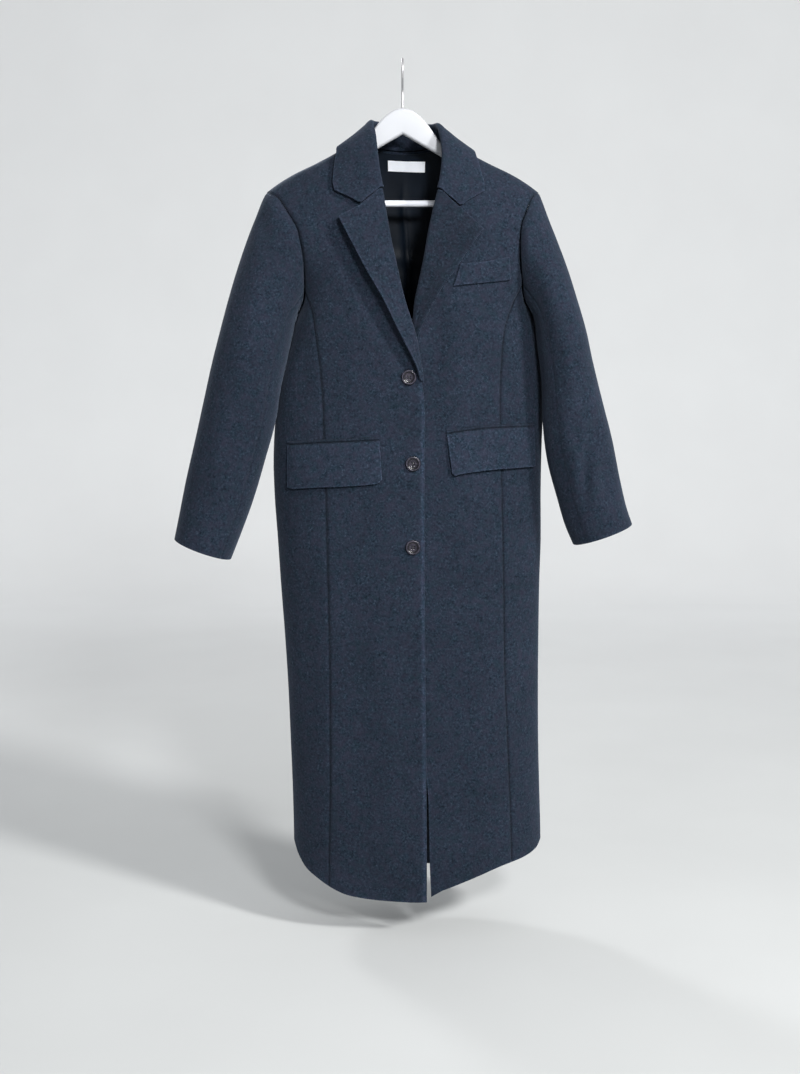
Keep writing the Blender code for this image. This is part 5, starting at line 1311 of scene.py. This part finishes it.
HOLE_SIDES = 20
DRILL_LENGTH = 10 * MM
THREAD_RADIUS = 0.2475 * MM
THREAD_SIDES = 8
THREADS_APART = 0.42 * MM
THREAD_LOW = 0.6 * MM        # inside the holes
THREAD_HIGH = 2.35 * MM      # across the dish
THREAD_BEND = 0.93           # share of that height over the rim of a hole
THREAD_INSIDE = 0.2          # and share of the way across where the thread lies flat
BUTTON_SHARP = 60            # edges sharper than this stay sharp, in degrees
OTHER_SHARP = 40


def loft(mesh, rings, tips=None):
    """Faces through rings of points, closed by flat ends or by a cone up to each of two tips."""
    tips = tips and [mesh.verts.new(tip) for tip in tips]
    rings = [[mesh.verts.new(point) for point in ring] for ring in rings]
    for low, high in zip(rings, rings[1:]):
        for corners in zip(low, low[1:] + low[:1], high[1:] + high[:1], high):
            mesh.faces.new(corners)
    if tips is None:
        mesh.faces.new(rings[0][::-1])
        mesh.faces.new(rings[-1])
        return
    for low, after_low, high, after_high in zip(rings[0], rings[0][1:] + rings[0][:1], rings[-1],
                                                rings[-1][1:] + rings[-1][:1]):
        mesh.faces.new((tips[0], after_low, low))
        mesh.faces.new((tips[1], high, after_high))


def circle(middle, side, up, radius, count):
    return [middle + (side * math.cos(turn) + up * math.sin(turn)) * radius
            for turn in spread(0, 2 * math.pi, count)[:-1]]


def tube(mesh, path, radius, count, side=None):
    """A round bar along a path. Its rings start towards side, where one is given."""
    rings = []
    for i, point in enumerate(path):
        along = (path[min(i + 1, len(path) - 1)] - path[max(i - 1, 0)]).normalized()
        start = side or along.orthogonal().normalized()
        rings.append(circle(point, start, along.cross(start), radius, count))
    loft(mesh, rings)


def add_mesh(name, mesh, matrix=None, angle=OTHER_SHARP):
    if matrix is not None:
        bmesh.ops.transform(mesh, matrix=matrix, verts=mesh.verts)
    return add_thing(name, mesh, bpy.data.meshes.new(name), angle)


def button_mesh():
    mesh = bmesh.new()
    rings = [circle(Vector((0, 0, height * MM)), Vector((1, 0, 0)), Vector((0, 1, 0)),
                    share * BUTTON_RADIUS, BUTTON_SIDES) for share, height in BUTTON_PROFILE[1:-1]]
    loft(mesh, rings, [(0, 0, BUTTON_PROFILE[end][1] * MM) for end in (0, -1)])
    return mesh


def drill(body, spot):
    """Cut the four holes of a button at its spot."""
    bits = bmesh.new()
    for x in (-HOLE_OFFSET, HOLE_OFFSET):
        for y in (-HOLE_OFFSET, HOLE_OFFSET):
            bmesh.ops.create_cone(bits, cap_ends=True, segments=HOLE_SIDES, radius1=HOLE_RADIUS,
                                  radius2=HOLE_RADIUS, depth=DRILL_LENGTH,
                                  matrix=Matrix.Translation((x, y, 0)))
    bits = add_mesh("drill", bits, spot)
    holes = body.modifiers.new("holes", "BOOLEAN")
    holes.object = bits
    drilled = bpy.data.meshes.new_from_object(body.evaluated_get(bpy.context.evaluated_depsgraph_get()))
    body.modifiers.clear()
    body.data = drilled
    drilled.materials.clear()
    bpy.data.objects.remove(bits)
    back_to_flat = spot.inverted()
    shares = [(back_to_flat @ vertex.co).xy.length / BUTTON_RADIUS for vertex in drilled.vertices]
    # tone holds the button's painted highlight rings and the painted shade in its groove
    drilled.attributes.new("tone", "FLOAT", "POINT").data.foreach_set(
        "value", np.interp(shares, *zip(*RING_HIGHLIGHT_AND_SHADE)))


def stitches():
    """Three threads across the button through each pair of holes."""
    mesh = bmesh.new()
    for y in (-HOLE_OFFSET, HOLE_OFFSET):
        for offset in (-THREADS_APART, 0.0, THREADS_APART):
            left = Vector((-HOLE_OFFSET, y + offset, 0))
            right = Vector((HOLE_OFFSET, y + offset, 0))
            path = [mix(left, right, share) + Vector((0, 0, height)) for share, height in (
                (0, THREAD_LOW), (0, THREAD_HIGH * THREAD_BEND), (THREAD_INSIDE, THREAD_HIGH),
                (1 - THREAD_INSIDE, THREAD_HIGH), (1, THREAD_HIGH * THREAD_BEND), (1, THREAD_LOW))]
            tube(mesh, path, THREAD_RADIUS, THREAD_SIDES)
    return mesh


def buttons(horn, thread):
    for name, x, height in BUTTONS:
        base, normal = cloth(FRONT, x, height)
        turn = Vector((0, 0, 1)).rotation_difference(normal).to_matrix().to_4x4()
        spot = Matrix.Translation(base + normal * BUTTON_SEAT) @ turn
        body = add_mesh(name + "_horn", button_mesh(), spot, BUTTON_SHARP)
        drill(body, spot)
        finish_piece(body, name, horn)
        finish_piece(add_mesh(name + "_thread", stitches(), spot), None, thread)


# ---- hanger

HangerRow = namedtuple("HangerRow", "out top bottom")
# domed head and one arm, out from the middle
HANGER = [HangerRow(*row) for row in (
    (0.0, -0.074, -0.115), (0.012, -0.0762, -0.1217), (0.024, -0.083, -0.1284),
    (0.036, -0.0942, -0.1352), (0.047, -0.1085, -0.1413), (0.056, -0.122, -0.1464),
    (0.065, -0.132, -0.1514), (0.08, -0.14, -0.1598))]
ARM_SEAT_START = 0.105       # from here out the shoulders rest on the arm
ARM_ROWS = 4
ARM_SLOPE = 0.56             # of the arm's underside
HANGER_THICK = 12.0 * MM
HANGER_EDGE = 5.6 * MM       # radius of the hanger's long edges
CORNER_STEPS = 12            # points round each of them
FINE_ROWS = 60               # from the middle to the deep end
SEAT_GAP = WALL + LINING_GAP + LINING_WALL + 1.3 * MM    # coat, lining and some air
BAR_RADIUS = 5.25 * MM
BAR_SIDES = 32
BAR_STEPS = 24
BAR_HEIGHT = -0.2230
BAR_HALF = 0.1805            # the bar ends here, against the arms' deep ends
ARM_END = 0.204
ARM_FOOT = -0.2340
ARM_TIP = (                  # the deep end: top from the shoulder's seat, bottom from the foot
    (BAR_HALF + 0.4 * MM, -0.4 * MM, 0.0), (ARM_END - 6.0 * MM, -1.8 * MM, -1.0 * MM),
    (ARM_END, -5.0 * MM, 5.0 * MM))

HOOK_WIRE = 1.9 * MM         # radius of the wire
HOOK_INNER = 18.5 * MM       # inner radius of the loop
HOOK_MOUTH = 5               # angle at which the loop ends behind the rail, in degrees
HOOK_THROAT = 232            # and where it turns down into the stem
HOOK_KNEE = 13.0 * MM        # from there down to the straight stem
HOOK_STEPS = 20
HOOK_FINER = 4               # times as many points in the end
WIRE_SIDES = 20


def arm_seat(out):
    """Height at which the shoulder rests on the arm."""
    return shoulder_height(out) - SEAT_GAP / shoulder_normal(out).z


def hanger_rows():
    """Top and bottom of the hanger, out from the middle to the end of one arm."""
    rows = list(HANGER)
    for out in spread(ARM_SEAT_START, BAR_HALF, ARM_ROWS):
        rows.append(HangerRow(out, arm_seat(out), HANGER[0].bottom - ARM_SLOPE * out))
    for out, top, bottom in ARM_TIP:
        rows.append(HangerRow(out, arm_seat(out) + top, ARM_FOOT + bottom))
    inner = [row for row in rows if row.out < BAR_HALF]
    top_line, bottom_line = lines(*inner)
    fine = [HangerRow(out, top_line(out), bottom_line(out))
            for out in spread(0, inner[-1].out, FINE_ROWS)]
    return fine + rows[len(inner):]


def hanger_section(row, sign):
    """Points round the hanger at one place: a rounded rectangle."""
    half = HANGER_THICK / 2 - HANGER_EDGE
    top, bottom = row.top - HANGER_EDGE, row.bottom + HANGER_EDGE
    points = []
    for start, y, z in ((0, half, top), (90, -half, top), (180, -half, bottom), (270, half, bottom)):
        for turn in spread(0, 90, CORNER_STEPS):
            angle = math.radians(start + turn)
            points.append(Vector((sign * row.out, y + HANGER_EDGE * math.cos(angle),
                                  z + HANGER_EDGE * math.sin(angle))))
    return points


def hook_path():
    """Middle of the wire, from the mouth over the rail and down the stem."""
    radius = HOOK_INNER + HOOK_WIRE
    path = []
    for angle in spread(math.radians(HOOK_MOUTH), math.radians(HOOK_THROAT), HOOK_STEPS):
        path.append(Vector((0, radius * math.cos(angle), radius * math.sin(angle) - HOOK_INNER)))
    leave = path[-1]
    knee = Vector((0, 0, leave.z - HOOK_KNEE))
    foot = Vector((0, 0, HANGER[0].top + SEAM))
    guides = [path[-2], leave, leave.lerp(knee, 0.5), knee, knee.lerp(foot, 0.5), foot]
    for i in range(1, len(guides) - 1):
        for share in (0.5, 1.0):
            path.append(spline_point(guides, i + share))
    return path


def hanger(paint, bar_paint_painted_light, metal):
    rows = hanger_rows()
    body, bar, wire = bmesh.new(), bmesh.new(), bmesh.new()
    loft(body, [hanger_section(row, -1) for row in reversed(rows[1:])]
         + [hanger_section(row, 1) for row in rows])
    half = BAR_HALF - SEAM
    tube(bar, [Vector((x, 0, BAR_HEIGHT)) for x in spread(-half, half, BAR_STEPS)], BAR_RADIUS,
         BAR_SIDES)
    path = hook_path()
    path = [spline_point(path, i / HOOK_FINER) for i in range(HOOK_FINER * (len(path) - 1) + 1)]
    tube(wire, path, HOOK_WIRE, WIRE_SIDES, side=Vector((1, 0, 0)))
    finish_piece(add_mesh("hanger_body_painted", body), "hanger_body", paint)
    finish_piece(add_mesh("hanger_bar_painted", bar), "hanger_bar", bar_paint_painted_light)
    finish_piece(add_mesh("hanger_hook_wire", wire), "hanger_hook", metal)


# ---- studio

FLOOR = -1.415
WALL_Y = 4.0                 # behind the camera of every view from the back
WALL_TOP = 5.0
BEND = 0.8                   # radius between floor and wall
BEND_STEPS = 16
REACH = 30.0                 # of the floor to the front and of both to the sides
SUN = (1.0, 0.99, 0.97)
WHITE = (1.0, 1.0, 1.0)
SKY = (0.975, 0.985, 1.0, 1.0)
SKY_STRENGTH = 0.39
CAMERA_PLACE = (-0.004, -2.44, -0.462)
CAMERA_TILT = 83             # from straight down, in degrees


def stage_material():
    """Matt paper, with a soft glow towards the wall in place of lamps that light it."""
    make = Nodes("studio_paper")
    share = make.add("ShaderNodeMath")
    share.operation = "DIVIDE"
    make.put(share.inputs[0], make.add("ShaderNodeSeparateXYZ", Vector=make.place).outputs["Y"])
    make.put(share.inputs[1], WALL_Y)
    glow = make.ramp(share.outputs[0], (0.10, 0.0), (0.75, (0.262, 0.264, 0.270)))
    paper = make.ramp(make.noise(3.0), (0.3, (0.560, 0.574, 0.577)), (0.7, (0.580, 0.595, 0.598)))
    return make.finish(Base_Color=paper, Roughness=0.9, Specular_IOR_Level=0.1, Emission_Color=glow,
                       Emission_Strength=1.0)


def studio():
    mesh = bmesh.new()
    profile = [(-REACH, FLOOR), (WALL_Y - BEND, FLOOR)]
    for turn in spread(-90, 0, BEND_STEPS):
        angle = math.radians(turn)
        profile.append((WALL_Y + BEND * (math.cos(angle) - 1), FLOOR + BEND * (math.sin(angle) + 1)))
    profile.append((WALL_Y, WALL_TOP))
    left, right = [[mesh.verts.new((x, y, z)) for y, z in profile] for x in (-REACH, REACH)]
    for corners in zip(left, right, right[1:], left[1:]):
        mesh.faces.new(corners)
    backdrop = add_mesh("backdrop", mesh)
    backdrop.data.materials.append(stage_material())


def lamp(name, place, towards, size, power, color, spread_angle):
    light = bpy.data.lights.new(name, "AREA")
    light.shape = "DISK"
    light.size = size
    light.energy = power
    light.color = color
    light.spread = math.radians(spread_angle)
    thing = bpy.data.objects.new(name, light)
    thing.location = place
    thing.rotation_euler = (Vector(towards) - Vector(place)).to_track_quat("-Z", "Y").to_euler()
    bpy.context.scene.collection.objects.link(thing)


def lights_and_camera():
    # name, place, aim, size in metres, watts, colour, spread in degrees
    lamp("key", (3.1, -2.6, 1.9), (0, 0, -0.5), 0.7, 200, SUN, 180)
    lamp("front", (0.9, -3.1, 0.85), (0.05, 0, -0.5), 0.6, 20, WHITE, 80)
    lamp("back", (-2.2, 3.2, 1.6), (0, 0, -0.5), 0.8, 9, WHITE, 70)
    world = bpy.data.worlds.new("studio")
    world.use_nodes = True
    sky = world.node_tree.nodes["Background"]
    sky.inputs["Color"].default_value = SKY
    sky.inputs["Strength"].default_value = SKY_STRENGTH
    bpy.context.scene.world = world
    bpy.context.scene.view_settings.view_transform = "Standard"
    lens = bpy.data.cameras.new("camera")
    lens.lens = 50
    lens.sensor_width = 36
    camera = bpy.data.objects.new("camera", lens)
    camera.location = CAMERA_PLACE
    camera.rotation_euler = (math.radians(CAMERA_TILT), 0, 0)
    bpy.context.scene.collection.objects.link(camera)
    bpy.context.scene.camera = camera


def main():
    coat(wool_material(), lining_material(),
         thread_material("label", (300, 300, 3600), (0.87, 0.91, 0.99), (0.94, 0.97, 1.00),
                         0.42, 0.35, 0.3))
    buttons(horn_material(),
            thread_material("button_thread", (2200, 2200, 2200), (0.021, 0.021, 0.0245),
                            (0.03, 0.03, 0.035), 0.8, 0.5, 0.2))
    # one white paint in two copies: painted shade on the body, which faces the lamps, and painted light
    # on the bar, which the lapels shade
    hanger(paint_material("white_paint", (0.480, 0.495, 0.525), (0.500, 0.515, 0.545)),
           paint_material("bar_paint_painted_light", (0.800, 0.825, 0.900), (0.830, 0.855, 0.930)), metal_material())
    studio()
    lights_and_camera()


main()
